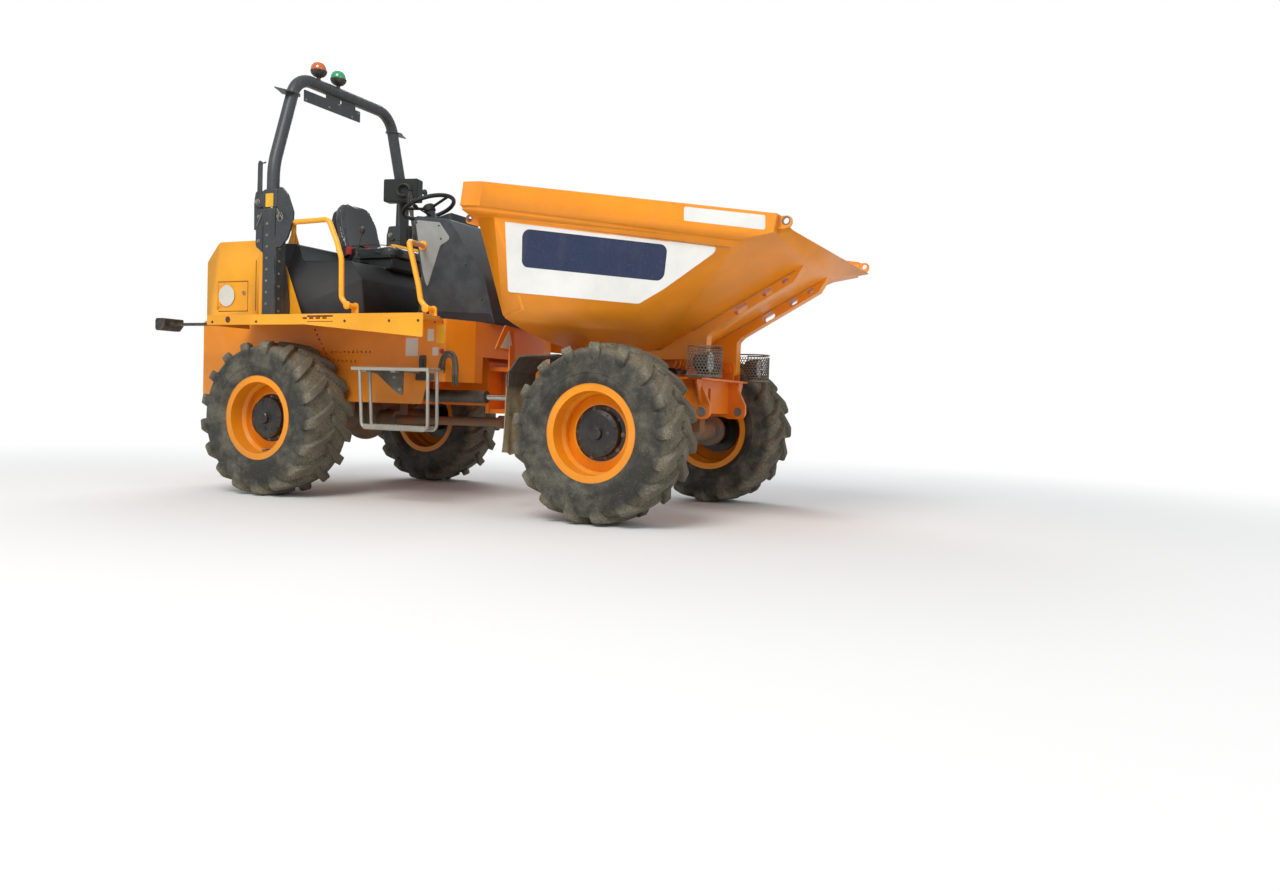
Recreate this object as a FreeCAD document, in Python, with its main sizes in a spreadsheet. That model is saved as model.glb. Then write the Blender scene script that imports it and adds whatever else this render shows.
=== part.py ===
import FreeCAD, Part
import math
import os

# Site dumper: front-tipping skip on a centre-articulated four-wheel chassis.
# Millimetres. +X forward, +Y to the machine's left, +Z up.
# Origin: on the ground under the middle of the machine.

# Driving dimensions: name, value, meaning
SIZES = (
    ("front_axle_x", 1219, "front axle ahead of the origin"),
    ("rear_axle_x", -1278, "rear axle"),
    ("pivot_x", 60, "vertical steering pivot"),
    ("half_track", 893, "centre line to wheel centre plane"),
    ("tyre_radius", 515, "over the lugs"),
    ("tyre_half_width", 205, "half the section width"),
    ("lug_height", 31, "tread lugs above the carcass"),
    ("seat_radius", 249.7, "bead seat of the rim"),
    ("flange_height", 26.3, "rim flange above the bead seat"),
    ("rim_radius", "=seat_radius + flange_height", "rim flange"),
    ("rim_half_width", 172, "outside the flanges"),
    ("hub_radius", 138, "planetary cover"),
    ("hub_inner", 130, "hub's inner end from the wheel centre plane"),
    ("hub_outer", 92, "hub's outer shoulder"),
    ("running_gap", 0.3, "gap of turning and resting faces"),
    ("axle_tube_radius", 72, "axle housing"),
    ("axle_bulb_radius", 160, "differential housing"),
    ("axle_flange_radius", 108, "end flange"),
    ("beam_y", 330, "outside of the chassis beams"),
    ("beam_thick", 25, "beam plate"),
    ("nose_beam_y", 200, "outside of the rear chassis's narrow nose"),
    ("rear_beam_low", "=tyre_radius + 125", "rear beams, lower edge"),
    ("rear_beam_high", "=floor_z - 135", "rear beams, upper edge"),
    ("front_beam_low", "=tyre_radius + 105", "front beams, lower edge"),
    ("front_beam_high", 900, "front beams, upper edge"),
    ("pin_radius", 40, "steering pin"),
    ("lug_upper_z", 880, "upper hinge lug, underside"),
    ("lug_lower_z", 590, "lower hinge lug, underside"),
    ("lug_thick", 30, "hinge lugs"),
    ("body_gap", 28, "between the rear body sides and the tyres"),
    ("body_y", "=half_track - tyre_half_width - body_gap", "rear body sides"),
    ("body_low", "=rear_beam_low", "rear body sides, lower edge"),
    ("sheet", 8, "body sheet and skip plate"),
    ("board_gap", 98, "between the rear tyres and the skirts"),
    ("skirt_deep", 67, "skirts below the floor at the rear"),
    ("floor_z", "=2 * tyre_radius + board_gap + skirt_deep", "top of floor and running boards"),
    ("board_y", 1064, "outer face of the running boards"),
    ("board_rear_x", -1750, "rear end of the running boards"),
    ("board_front_x", 54, "front end of the running boards at the skirt"),
    ("skirt_rear_low", "=floor_z - skirt_deep", "skirt's lower edge at the rear"),
    ("skirt_front_low", "=skirt_rear_low - 80", "skirt's lower edge at the front"),
    ("skirt_kink_x", -885, "where the skirt starts to deepen"),
    ("tail_x", -2283, "rear face of the counterweight"),
    ("tail_front_x", -1900, "front face of the counterweight"),
    ("tail_high", "=floor_z - running_gap", "top of the counterweight"),
    ("cover_y", "=body_y - 60", "engine cover half width"),
    ("cover_rear_x", "=tail_x", "engine cover, rear face"),
    ("cover_front_x", -1720, "engine cover, front face"),
    ("cover_low", "=floor_z", "engine cover, lower edge"),
    ("cover_high", 1773, "engine cover, top"),
    ("post_x", -1544, "roll bar posts, centre"),
    ("post_y", 709, "roll bar posts, centre"),
    ("post_length", 220, "posts along the machine"),
    ("post_width", 96, "posts across the machine"),
    ("post_top", 1960, "top of the posts"),
    ("hoop_radius", 43, "roll bar tube"),
    ("hoop_hinge_x", -1636, "fold axis"),
    ("hoop_hinge_z", 2010, "fold axis"),
    ("hoop_top_z", 2860, "centre of the top bar"),
    ("hoop_top_y", 632, "top corners"),
    ("skip_wall_y", 880, "skip side walls, outside"),
    ("skip_rail_y", 935, "folded rim, outside"),
    ("skip_rear_y", 800, "half width of the skip's rear wall"),
    ("skip_pivot_x", 1545, "tipping axis"),
    ("skip_pivot_z", 930, "tipping axis"),
    ("skip_keel_y", 300, "half width of the skip's flat bottom"),
    ("skip_keel_z", 1020, "skip's underside"),
    ("rib_y", 265, "centre of ribs and pivot legs"),
    ("rib_half", 40, "half the width of ribs and legs"),
    ("skip_pin_radius", 25, "tipping pins"),
    ("ear_thick", 16, "pivot bracket plates"),
    ("ear_gap", 5, "side gap between legs and bracket plates"),
    ("seat_x", -1130, "middle of the seat cushion"),
    ("step_y", 950, "outside of the steps"),
    ("rail_radius", 17, "handrail tube"),
    ("rail_y", 837, "plane of the handrails"),
)

DOC = FreeCAD.newDocument("SiteDumper")
SHEET = DOC.addObject("Spreadsheet::Sheet", "Sizes")


class Named:
    """The same sizes for the outlines drawn in code."""


S = Named()
for row, (alias, value, meaning) in enumerate(SIZES, start=1):
    SHEET.set("A%d" % row, alias)
    SHEET.set("C%d" % row, meaning)
    SHEET.setAlias("B%d" % row, alias)
for row, (alias, value, meaning) in enumerate(SIZES, start=1):
    SHEET.set("B%d" % row, str(value))
DOC.recompute()
for alias, value, meaning in SIZES:
    setattr(S, alias, float(SHEET.get(alias)))

V = FreeCAD.Vector
NODES = []


def place(x=0, y=0, z=0, axis=(0, 0, 1), angle=0):
    return FreeCAD.Placement(V(x, y, z), FreeCAD.Rotation(V(*axis), angle))


def node(obj, label):
    obj.Label = label
    NODES.append(obj)
    return obj


def bind(obj, **rules):
    for name, rule in rules.items():
        obj.setExpression(name.replace("_of_", "."), rule)
    return obj


def rounded(points):
    """Closed outline of (a, b) or (a, b, corner radius) as lines and arcs."""
    corners = []
    count = len(points)
    for i, point in enumerate(points):
        here = V(point[0], point[1], 0)
        radius = point[2] if len(point) > 2 else 0
        if radius == 0:
            corners.append((here, here, None))
            continue
        back = V(points[i - 1][0], points[i - 1][1], 0) - here
        ahead = V(points[(i + 1) % count][0], points[(i + 1) % count][1], 0) - here
        back.normalize()
        ahead.normalize()
        half = back.getAngle(ahead) / 2
        reach = radius / math.tan(half)
        middle = back + ahead
        middle.normalize()
        tip = here + middle * (radius / math.sin(half) - radius)
        corners.append((here + back * reach, here + ahead * reach, tip))
    pieces = []
    for i, (start, end, tip) in enumerate(corners):
        if tip is not None:
            pieces.append(Part.Arc(start, tip, end))
        following = corners[(i + 1) % count][0]
        if end.distanceToPoint(following) > 1e-6:
            pieces.append(Part.LineSegment(end, following))
    return pieces


def circle(a, b, radius):
    return [Part.Circle(V(a, b, 0), V(0, 0, 1), radius)]


PLANES = {"XY": "XY_Plane", "XZ": "XZ_Plane", "YZ": "YZ_Plane"}


def sketch(body, plane, geometry, offset=0):
    drawing = body.newObject("Sketcher::SketchObject", body.Name + "_outline")
    origin = [f for f in body.Origin.OriginFeatures if f.Role == PLANES[plane]][0]
    drawing.AttachmentSupport = [(origin, "")]
    drawing.MapMode = "FlatFace"
    drawing.AttachmentOffset = place(z=offset)
    drawing.addGeometry(geometry, False)
    return drawing


def prism(name, plane, geometry, low, high):
    """A pad of an outline between two places on the plane's axis."""
    body = DOC.addObject("PartDesign::Body", name)
    offset = -high if plane == "XZ" else low
    drawing = sketch(body, plane, geometry, offset)
    pad = body.newObject("PartDesign::Pad", name + "_pad")
    pad.Profile = drawing
    pad.Length = high - low
    body.Tip = pad
    return body


def turned(name, points):
    """A body turned about the Y axis from an outline of (along, radius)."""
    body = DOC.addObject("PartDesign::Body", name)
    drawing = sketch(body, "YZ", rounded(points))
    turn = body.newObject("PartDesign::Revolution", name + "_turn")
    turn.Profile = drawing
    turn.ReferenceAxis = (drawing, ["H_Axis"])
    turn.Angle = 360
    body.Tip = turn
    return body


def block(name, x, y, z):
    """A box between named places, each axis given as two expressions."""
    box = DOC.addObject("Part::Box", name)
    for side, axis, (low, high) in (("Length", "x", x), ("Width", "y", y), ("Height", "z", z)):
        box.setExpression(side, "(%s) - (%s)" % (high, low))
        box.setExpression("Placement.Base." + axis, str(low))
    return box


def rod(name, radius, start, end):
    """A round bar from one point to another."""
    bar = DOC.addObject("Part::Cylinder", name)
    if isinstance(radius, str):
        bar.setExpression("Radius", radius)
    else:
        bar.Radius = radius
    way = V(*end) - V(*start)
    bar.Height = way.Length
    bar.Placement = FreeCAD.Placement(V(*start), FreeCAD.Rotation(V(0, 0, 1), way))
    return bar


def fused(name, parts):
    joined = DOC.addObject("Part::MultiFuse", name)
    joined.Shapes = parts
    joined.Refine = True
    return joined


def carved(name, base, tool):
    cut = DOC.addObject("Part::Cut", name)
    cut.Base = base
    cut.Tool = tool
    cut.Refine = True
    return cut


def group(name, parts):
    together = DOC.addObject("Part::Compound", name)
    together.Links = parts
    return together


def mirrored(name, source):
    """The same piece on the machine's left."""
    twin = DOC.addObject("Part::Mirroring", name)
    twin.Source = source
    twin.Base = V(0, 0, 0)
    twin.Normal = V(0, 1, 0)
    return twin


def shaped(name, shape):
    feature = DOC.addObject("Part::Feature", name)
    feature.Shape = shape
    return feature


def path_wire(points):
    """Straight runs joined by tangent arcs: points are (x, y, z, bend radius)."""
    corners = []
    last = len(points) - 1
    for i, point in enumerate(points):
        here = V(*point[:3])
        if i in (0, last):
            corners.append((here, here, None))
            continue
        back = V(*points[i - 1][:3]) - here
        ahead = V(*points[i + 1][:3]) - here
        back.normalize()
        ahead.normalize()
        half = back.getAngle(ahead) / 2
        reach = point[3] / math.tan(half)
        middle = back + ahead
        middle.normalize()
        tip = here + middle * (point[3] / math.sin(half) - point[3])
        corners.append((here + back * reach, here + ahead * reach, tip))
    edges = []
    for i, (start, end, tip) in enumerate(corners):
        if tip is not None:
            edges.append(Part.Arc(start, tip, end).toShape())
        if i < last:
            edges.append(Part.LineSegment(end, corners[i + 1][0]).toShape())
    return Part.Wire(edges)


def tube(name, points, radius):
    wire = path_wire(points)
    first = V(*points[0][:3])
    way = V(*points[1][:3]) - first
    ring = Part.Wire(Part.Circle(first, way, radius).toShape())
    return shaped(name, wire.makePipeShell([ring], True, True))


def plate(points, direction, origin, normal_rotation=None):
    """A solid from a closed list of points pushed along a direction."""
    face = Part.Face(Part.makePolygon([V(*p) for p in points] + [V(*points[0])]))
    return face.extrude(V(*direction))


# Wheels
# name, centre x, side (-1 is the machine's right)
WHEELS = (
    ("front_right", S.front_axle_x, -1),
    ("front_left", S.front_axle_x, 1),
    ("rear_right", S.rear_axle_x, -1),
    ("rear_left", S.rear_axle_x, 1),
)


# The tyre's rows from the middle of the tread to the bore
# turn in degrees, along the axle, below the tips, half a lug's foot; the lug's top: along, below, half width
LUGS_A_SIDE = 17
TREAD_ROWS = (
    (0.0, 0, S.lug_height, 27, (8, -0.4, 21)),
    (11.0, 150, S.lug_height + 6, 34, (150, 3, 29)),
    (14.5, S.tyre_half_width - 19, S.lug_height + 34, 36, (S.tyre_half_width, 40, 31)),
    (16.5, S.tyre_half_width - 2, S.lug_height + 90, None, None),
    (16.5, S.rim_half_width - 12.3, S.tyre_radius - S.rim_radius - 16, None, None),
    (16.5, S.rim_half_width - 12.3, S.tyre_radius - S.seat_radius - 1.4, None, None),
)


def lugged_tyre():
    """One closed skin of flat faces; lugs of the two sides lie half a pitch apart."""
    pitch = 2 * math.pi / LUGS_A_SIDE
    faces = []

    def spot(side, turn, along, below):
        radius = S.tyre_radius - below
        return V(radius * math.sin(turn), side * along, radius * math.cos(turn))

    def add(side, *corners):
        corners = corners if side > 0 else corners[::-1]
        for i in range(1, len(corners) - 1):
            faces.append(Part.Face(Part.makePolygon([corners[0], corners[i], corners[i + 1], corners[0]])))

    for side in (-1, 1):
        for i in range(LUGS_A_SIDE):
            start = math.pi + pitch * (i + (0.5 if side > 0 else 0))
            foot, top = [], []
            for turn, along, below, half, lug in TREAD_ROWS:
                middle = start + math.radians(turn)
                wide = half / (S.tyre_radius - below) if half else pitch / 4
                foot.append([spot(side, middle + k, along, below) for k in (-wide, wide, pitch - wide)])
                if lug:
                    wide = lug[2] / (S.tyre_radius - lug[1])
                    top.append([spot(side, middle + k, lug[0], lug[1]) for k in (-wide, wide)])
            # the lug's inner end, top and outer end
            column = [foot[0]] + top + [foot[3]]
            for here, there in zip(column, column[1:]):
                add(side, here[0], here[1], there[1], there[0])
            # its two flanks
            for j in (0, 1):
                add(side, top[j][1], foot[j][1], foot[j + 1][1], top[j + 1][1])
                add(side, foot[j][0], top[j][0], top[j + 1][0], foot[j + 1][0])
            add(side, top[2][1], foot[2][1], foot[3][1])
            add(side, foot[2][0], top[2][0], foot[3][0])
            # the groove after it; the other side's lug starts in the middle of its first edge
            wide = TREAD_ROWS[0][3] / (S.tyre_radius - S.lug_height)
            near, far = [spot(side, start + pitch / 2 + k, 0, S.lug_height) for k in (-wide, wide)]
            add(side, foot[0][1], near, foot[1][1])
            add(side, near, foot[1][2], foot[1][1])
            add(side, near, far, foot[1][2])
            add(side, far, foot[0][2], foot[1][2])
            for j in (1, 2):
                add(side, foot[j][1], foot[j][2], foot[j + 1][2], foot[j + 1][1])
            # wall, bead and bore
            for j in (3, 4):
                add(side, foot[j][0], foot[j][1], foot[j + 1][1], foot[j + 1][0])
                add(side, foot[j][1], foot[j][2], foot[j + 1][2], foot[j + 1][1])
            if side < 0:
                for low, high in ((0, 1), (1, 2)):
                    add(side, foot[5][low], foot[5][high], V(foot[5][high].x, -foot[5][high].y, foot[5][high].z),
                        V(foot[5][low].x, -foot[5][low].y, foot[5][low].z))
    return Part.Solid(Part.makeShell(faces)).removeSplitter()


def rim_outline():
    """Outward is -Y; the list is (outward, radius)."""
    wide = S.rim_half_width
    seat = S.seat_radius
    inside = seat - 13
    outline = (
        (wide, S.rim_radius), (wide - 12, S.rim_radius), (wide - 12, seat), (70, seat),
        (50, seat - 18), (-40, seat - 18), (-60, seat), (12 - wide, seat),
        (12 - wide, S.rim_radius), (-wide, S.rim_radius), (-wide, inside), (-68, inside),
        (-48, seat - 30), (6, seat - 30), (30, 165), (30, 112), (44, 112), (44, 170),
        (22, seat - 30), (56, seat - 30), (78, inside), (wide, inside),
    )
    return [(-a, r) for a, r in outline]


def hub_outline():
    cap = S.hub_outer
    outline = (
        (-S.hub_inner, 0), (-S.hub_inner, 100), (0, 100), (0, 158), (29.7, 158),
        (29.7, 111.7), (44.3, 111.7), (44.3, S.hub_radius), (cap, S.hub_radius - 6),
        (cap + 8, S.hub_radius - 28), (cap + 12, 42), (cap + 24, 38), (cap + 24, 0),
    )
    return [(-a, r) for a, r in outline]


TYRE = lugged_tyre()
for name, centre_x, side in WHEELS:
    for kind, outline in (("tyre", None), ("rim", rim_outline()), ("hub", hub_outline())):
        piece = turned("%s_%s" % (kind, name), outline) if outline else shaped("%s_%s" % (kind, name), TYRE)
        piece.Placement = place(centre_x, side * S.half_track, S.tyre_radius, angle=0 if side < 0 else 180)
        node(piece, "%s_%s" % (kind, name))


def axle(name, centre_x, nose):
    """Housing tube, differential bulb with its nose, end flanges and bolted pads."""
    end = S.half_track - S.hub_inner - S.running_gap
    z = S.tyre_radius
    bulb = DOC.addObject("Part::Sphere", name + "_bulb")
    bulb.setExpression("Radius", "Sizes.axle_bulb_radius")
    bulb.Placement = place(centre_x, 0, z)
    parts = [
        bulb,
        rod(name + "_tube", "Sizes.axle_tube_radius", (centre_x, -end, z), (centre_x, end, z)),
        rod(name + "_nose", 62, (centre_x, 0, z), (centre_x + nose, 0, z)),
    ]
    for side in (-1, 1):
        parts.append(rod("%s_flange%d" % (name, side), "Sizes.axle_flange_radius",
                         (centre_x, side * (end - 90), z), (centre_x, side * end, z)))
    return parts


def axle_pads(name, centre_x, top):
    pads = []
    for side in (-1, 1):
        pad = DOC.addObject("Part::Box", "%s_pad%d" % (name, side))
        pad.Length = 240
        pad.Width = 90
        pad.Height = top - S.tyre_radius
        pad.Placement = place(centre_x - 120, side * 300 - 45, S.tyre_radius)
        pads.append(pad)
    return pads


def shaft(name, start, end, yoke_at):
    """Propeller shaft with a yoke collar at its pivot end."""
    way = V(*end) - V(*start)
    way.normalize()
    far = V(*yoke_at)
    return [rod(name + "_tube", 32, start, end), rod(name + "_yoke", 46, tuple(far - way * 40), tuple(far))]


rear_end, front_end = (S.pivot_x - 95, 0, 528), (S.pivot_x + 140, 0, 548)
node(fused("rear_axle_node", axle("rear_axle_part", S.rear_axle_x, 300)
           + axle_pads("rear_axle", S.rear_axle_x, S.rear_beam_low)
           + shaft("rear_shaft", (S.rear_axle_x + 290, 0, S.tyre_radius), rear_end, rear_end)), "rear_axle")
node(fused("front_axle_node", axle("front_axle_part", S.front_axle_x, -300)
           + axle_pads("front_axle", S.front_axle_x, S.front_beam_low)
           + shaft("front_shaft", (S.front_axle_x - 290, 0, S.tyre_radius), front_end, front_end)), "front_axle")

# Rear chassis: beams, cross plates and the two hinge lugs that reach the pivot
rear_beam = [(S.tail_x + 33, S.rear_beam_low + 60), (S.tail_x + 133, S.rear_beam_low), (-405, S.rear_beam_low),
             (-405, S.rear_beam_high, 40), (S.tail_x + 33, S.rear_beam_high)]
nose_beam = [(-420, S.rear_beam_low), (-40, S.rear_beam_low), (-40, 950, 60), (-260, S.rear_beam_high - 10, 60),
             (-420, S.rear_beam_high - 10)]
rear_parts = []
# outline, outer face and name of each pair of plates; the nose is narrow to leave room for the steering rams
for outline, outer, tag in ((rear_beam, S.beam_y, "rear_beam"), (nose_beam, S.nose_beam_y, "nose_beam")):
    for side in (-1, 1):
        low = -outer if side < 0 else outer - S.beam_thick
        rear_parts.append(prism("%s%d" % (tag, side), "XZ", rounded(outline), low, low + S.beam_thick))
for tag, x, half, high in (("front", -65, "nose_beam_y", 940), ("joint", -430, "beam_y", 1045),
                           ("middle", -960, "beam_y", 940), ("back", -1412, "beam_y", 940)):
    rear_parts.append(block("rear_cross_" + tag, (x, x + 25), ("1 - Sizes." + half, "Sizes.%s - 1" % half),
                            (S.rear_beam_low + 5, high)))
lug = [(-60, -200), (S.pivot_x - 20, -100), (S.pivot_x + 95, -100, 95), (S.pivot_x + 95, 100, 95),
       (S.pivot_x - 20, 100), (-60, 200)]
for tag, z in (("upper", S.lug_upper_z), ("lower", S.lug_lower_z)):
    rear_parts.append(prism("hinge_lug_" + tag, "XY", rounded(lug), z, z + S.lug_thick))
rear_parts.append(block("hinge_web", (-64, -40), (-200, 200), ("Sizes.lug_lower_z", "Sizes.rear_beam_low + 20")))
rear_parts.append(rod("pin_shank", "Sizes.pin_radius", (S.pivot_x, 0, S.lug_lower_z - 15),
                      (S.pivot_x, 0, S.lug_upper_z + S.lug_thick + 12)))
rear_parts.append(rod("pin_cap", 62, (S.pivot_x, 0, S.lug_upper_z + S.lug_thick - 5),
                      (S.pivot_x, 0, S.lug_upper_z + S.lug_thick + 14)))

# Steering rams lie outside the beams: ends on the rear and front chassis
STEER_REAR, STEER_FRONT, STEER_Z = (-460, 410), (400, 410), 700


def steer_lugs(name, at, side, through):
    """Two plates above and below a ram eye, with the pin or only its heads."""
    x, y = at[0], side * at[1]
    parts = []
    for tag, low, high in (("up", 27, 41), ("low", -41, -27)):
        outline = [(x - 36, side * (S.beam_y - 1)), (x - 36, y + side * 36, 34), (x + 36, y + side * 36, 34),
                   (x + 36, side * (S.beam_y - 1))]
        parts.append(prism("%s_%s%d" % (name, tag, side), "XY", rounded(outline), STEER_Z + low, STEER_Z + high))
    if through:
        parts.append(rod("%s_pin%d" % (name, side), 15, (x, y, STEER_Z - 50), (x, y, STEER_Z + 50)))
    else:
        for tag, low, high in (("top", 40, 52), ("foot", -52, -40)):
            parts.append(rod("%s_%s%d" % (name, tag, side), 22, (x, y, STEER_Z + low), (x, y, STEER_Z + high)))
    return parts


for side in (-1, 1):
    rear_parts += steer_lugs("rear_ram_lug", STEER_REAR, side, True)
node(fused("rear_chassis_node", rear_parts), "rear_chassis")

# Front chassis: trunnion, beams with round noses, cross plates, top plate
front_beam = [(330, S.front_beam_low), (1480, S.front_beam_low), (1520, 607), (1640, 607, 46),
              (1634, 700, 46), (1560, 846), (1400, 846, 60), (1320, S.front_beam_high, 60),
              (330, S.front_beam_high)]
front_parts = []
for side in (-1, 1):
    low = side * S.beam_y if side < 0 else S.beam_y - S.beam_thick
    beam = prism("front_beam%d" % side, "XZ", rounded(front_beam), low, low + S.beam_thick)
    boss = rod("tie_boss%d" % side, 46, (1588, side * (S.beam_y + 8), 655),
               (1588, side * (S.beam_y - S.beam_thick - 8), 655))
    front_parts += [beam, boss]
front_parts.append(block("front_cross_rear", (330, 355), ("-Sizes.beam_y + 1", "Sizes.beam_y - 1"), (640, 870)))
front_parts.append(block("front_cross_ram", (440, 465), ("-Sizes.beam_y + 1", "Sizes.beam_y - 1"), (640, 700)))
front_parts.append(block("front_cross_mid", (1040, 1060), ("-Sizes.beam_y + 1", "Sizes.beam_y - 1"), (640, 800)))
front_parts.append(block("front_face", (1500, 1516), ("-Sizes.beam_y + 1", "Sizes.beam_y - 1"), (640, 846)))
front_parts.append(prism("front_top_plate", "XY", rounded([(1395, -385), (1470, -410), (1610, -410), (1610, 410),
                                                            (1470, 410), (1395, 385)]), 846, 858))
for side in (-1, 1):
    at = side * S.beam_y
    front_parts.append(prism("front_gusset%d" % side, "YZ", rounded([(at - side * 2, 847), (at + side * 74, 847),
                                                                      (at + side * 74, 830), (at - side * 2, 690)]),
                             1566, 1578))
trunnion = rod("trunnion", 85, (S.pivot_x, 0, S.lug_lower_z + S.lug_thick + 2),
               (S.pivot_x, 0, S.lug_upper_z - 2))
neck = prism("trunnion_neck", "XZ", rounded([(S.pivot_x, 650), (335, 645), (335, 865), (S.pivot_x, 850)]), -80, 80)
front_parts += [trunnion, neck]
for side in (-1, 1):
    front_parts += steer_lugs("front_ram_lug", STEER_FRONT, side, False)

# Tipping pivot brackets on the top plate, with their pins
ear = [(S.skip_pivot_x - 80, 857), (S.skip_pivot_x + 37, 857), (S.skip_pivot_x + 45, S.skip_pivot_z + 45, 42),
       (S.skip_pivot_x - 45, S.skip_pivot_z + 45, 42)]
for side in (-1, 1):
    for inner in (-1, 1):
        near = S.rib_y + inner * (S.rib_half + S.ear_gap)
        low = near if inner > 0 else near - S.ear_thick
        low = low if side > 0 else -low - S.ear_thick
        front_parts.append(prism("ear%d%d" % (side, inner), "XZ", rounded(ear), low, low + S.ear_thick))
reach = S.rib_half + S.ear_gap + S.ear_thick + 10
front_parts += [rod("tip_pin%d" % side, "Sizes.skip_pin_radius",
                    (S.skip_pivot_x, side * S.rib_y - reach, S.skip_pivot_z),
                    (S.skip_pivot_x, side * S.rib_y + reach, S.skip_pivot_z)) for side in (-1, 1)]

# Cross pin of the tipping rams, rests for the skip's keel and the corner plates
RAM_BASE = V(520, 0, 745)
front_parts.append(rod("ram_base_bar", 20, (RAM_BASE.x, 1 - S.beam_y, RAM_BASE.z), (RAM_BASE.x, S.beam_y - 1, RAM_BASE.z)))
front_parts += [block("rest%d" % side, (700, 860), (side * 270 - 42, side * 270 + 42),
                      ("Sizes.front_beam_high - 60", "Sizes.skip_keel_z - 0.3")) for side in (-1, 1)]
for side in (-1, 1):
    sign = prism("sign_plate%d" % side, "YZ", rounded([(side * 700, 1000), (side * 470, 985), (side * 500, 1150, 10),
                                                       (side * 590, 1158, 10)]), 330, 336)
    outer, inner = sorted((side * 545, side * (S.beam_y - 1)))
    foot = block("sign_foot%d" % side, (334, 358), (outer, inner), (862, 880))
    outer, inner = sorted((side * 545, side * 490))
    stay = block("sign_stay%d" % side, (334, 344), (outer, inner), (862, 1030))
    front_parts += [sign, foot, stay]
front_solid = fused("front_chassis_solid", front_parts)
front_cut = fused("front_chassis_ways", [
    rod("trunnion_way", S.pin_radius + S.running_gap, (S.pivot_x, 0, 500), (S.pivot_x, 0, 1000)),
    rod("tie_way", 24, (1588, -500, 655), (1588, 500, 655)),
    block("face_slot", (1480, 1530), (-60, -20), (700, 800)),
])
node(carved("front_chassis", front_solid, front_cut), "front_chassis")

# Skip: outer form as the common part of three extrusions, hollowed the same way
RIM_REAR = V(350, 0, 1987)
RIM_FRONT = V(2205, 0, 1701.6)
LIP = V(2283, 0, 1618)
LIP_FOLD = V(2190, 0, 1525)
WALL_FOLD = V(1909, 0, 1554)
CHUTE_ANGLE = math.radians(29)


def skip_profile(inset):
    """Side outline; inset moves every plate in and opens the top."""
    up = 0 if inset == 0 else 400
    rear_top = (175 + inset, 2016)
    floor = S.skip_keel_z + inset
    chute = (1279 - inset * 0.26, floor)
    rise = math.tan(CHUTE_ANGLE)
    # the lip kicks up at 45 degrees
    kick = LIP_FOLD.z - LIP_FOLD.x + inset * math.sqrt(2)
    fold_x = (floor - chute[0] * rise - kick) / (1 - rise)
    fold = (fold_x, fold_x + kick)
    slope = (431 - 175) / (2016 - 1255)
    back = (175 + inset + (2016 - floor) * slope, floor)
    if inset == 0:
        return [rear_top, (back[0], back[1], 300), (chute[0], chute[1], 350), fold,
                (LIP.x, LIP.z), (RIM_FRONT.x, RIM_FRONT.z)]
    return [(rear_top[0] - up * slope, rear_top[1] + up), rear_top, (back[0], back[1], 300 - inset),
            (chute[0], chute[1], 350 + inset), fold, (2600, 2600 + kick), (2600, rear_top[1] + up + 200)]


def belly_section(inset):
    """Half cross-section: (y, z) from the keel to the top."""
    return [(S.skip_keel_y, S.skip_keel_z + inset), (620 - inset * 0.3, 1112 + inset),
            (S.skip_wall_y - inset, 1224 + inset * 0.5), (S.skip_wall_y - inset, 3500)]


def chute_section(inset):
    """The same across the chute, z measured square to its floor."""
    return [(S.skip_keel_y, inset), (S.skip_wall_y - inset, 123 + inset), (S.skip_wall_y - inset, 2500)]


def skip_form(inset):
    profile = Part.Face(Part.Wire([g.toShape() for g in rounded(skip_profile(inset))]))
    profile.rotate(V(0, 0, 0), V(1, 0, 0), 90)
    profile.translate(V(0, 1500, 0))
    side_on = profile.extrude(V(0, -3000, 0))
    half = belly_section(inset)
    ring = [V(-400, y, z) for y, z in half] + [V(-400, -y, z) for y, z in reversed(half)]
    end_on = Part.Face(Part.makePolygon(ring + [ring[0]])).extrude(V(4000, 0, 0))
    form = side_on.common(end_on)
    along = V(math.cos(CHUTE_ANGLE), 0, math.sin(CHUTE_ANGLE))
    square = V(-math.sin(CHUTE_ANGLE), 0, math.cos(CHUTE_ANGLE))
    start = V(1279, 0, S.skip_keel_z) - along * 2500
    half = chute_section(inset)
    ring = [start + square * z + V(0, y, 0) for y, z in half]
    ring += [start + square * z + V(0, -y, 0) for y, z in reversed(half)]
    form = form.common(Part.Face(Part.makePolygon(ring + [ring[0]])).extrude(along * 5000))
    lean = V(431 - 175, 0, 1255 - 2016)
    top = V(175, 0, 2016) - lean * 1.2
    wide, rear = S.skip_wall_y - inset, S.skip_rear_y - inset
    ring = [top + V(inset, rear, 0), top + V(190 + inset * 0.4, wide, 0), top + V(4000, wide, 0),
            top + V(4000, -wide, 0), top + V(190 + inset * 0.4, -wide, 0), top + V(inset, -rear, 0)]
    form = form.common(Part.Face(Part.makePolygon(ring + [ring[0]])).extrude(lean * 3))
    return form.fuse(lip_corners(inset).common(side_on).common(end_on))


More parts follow.
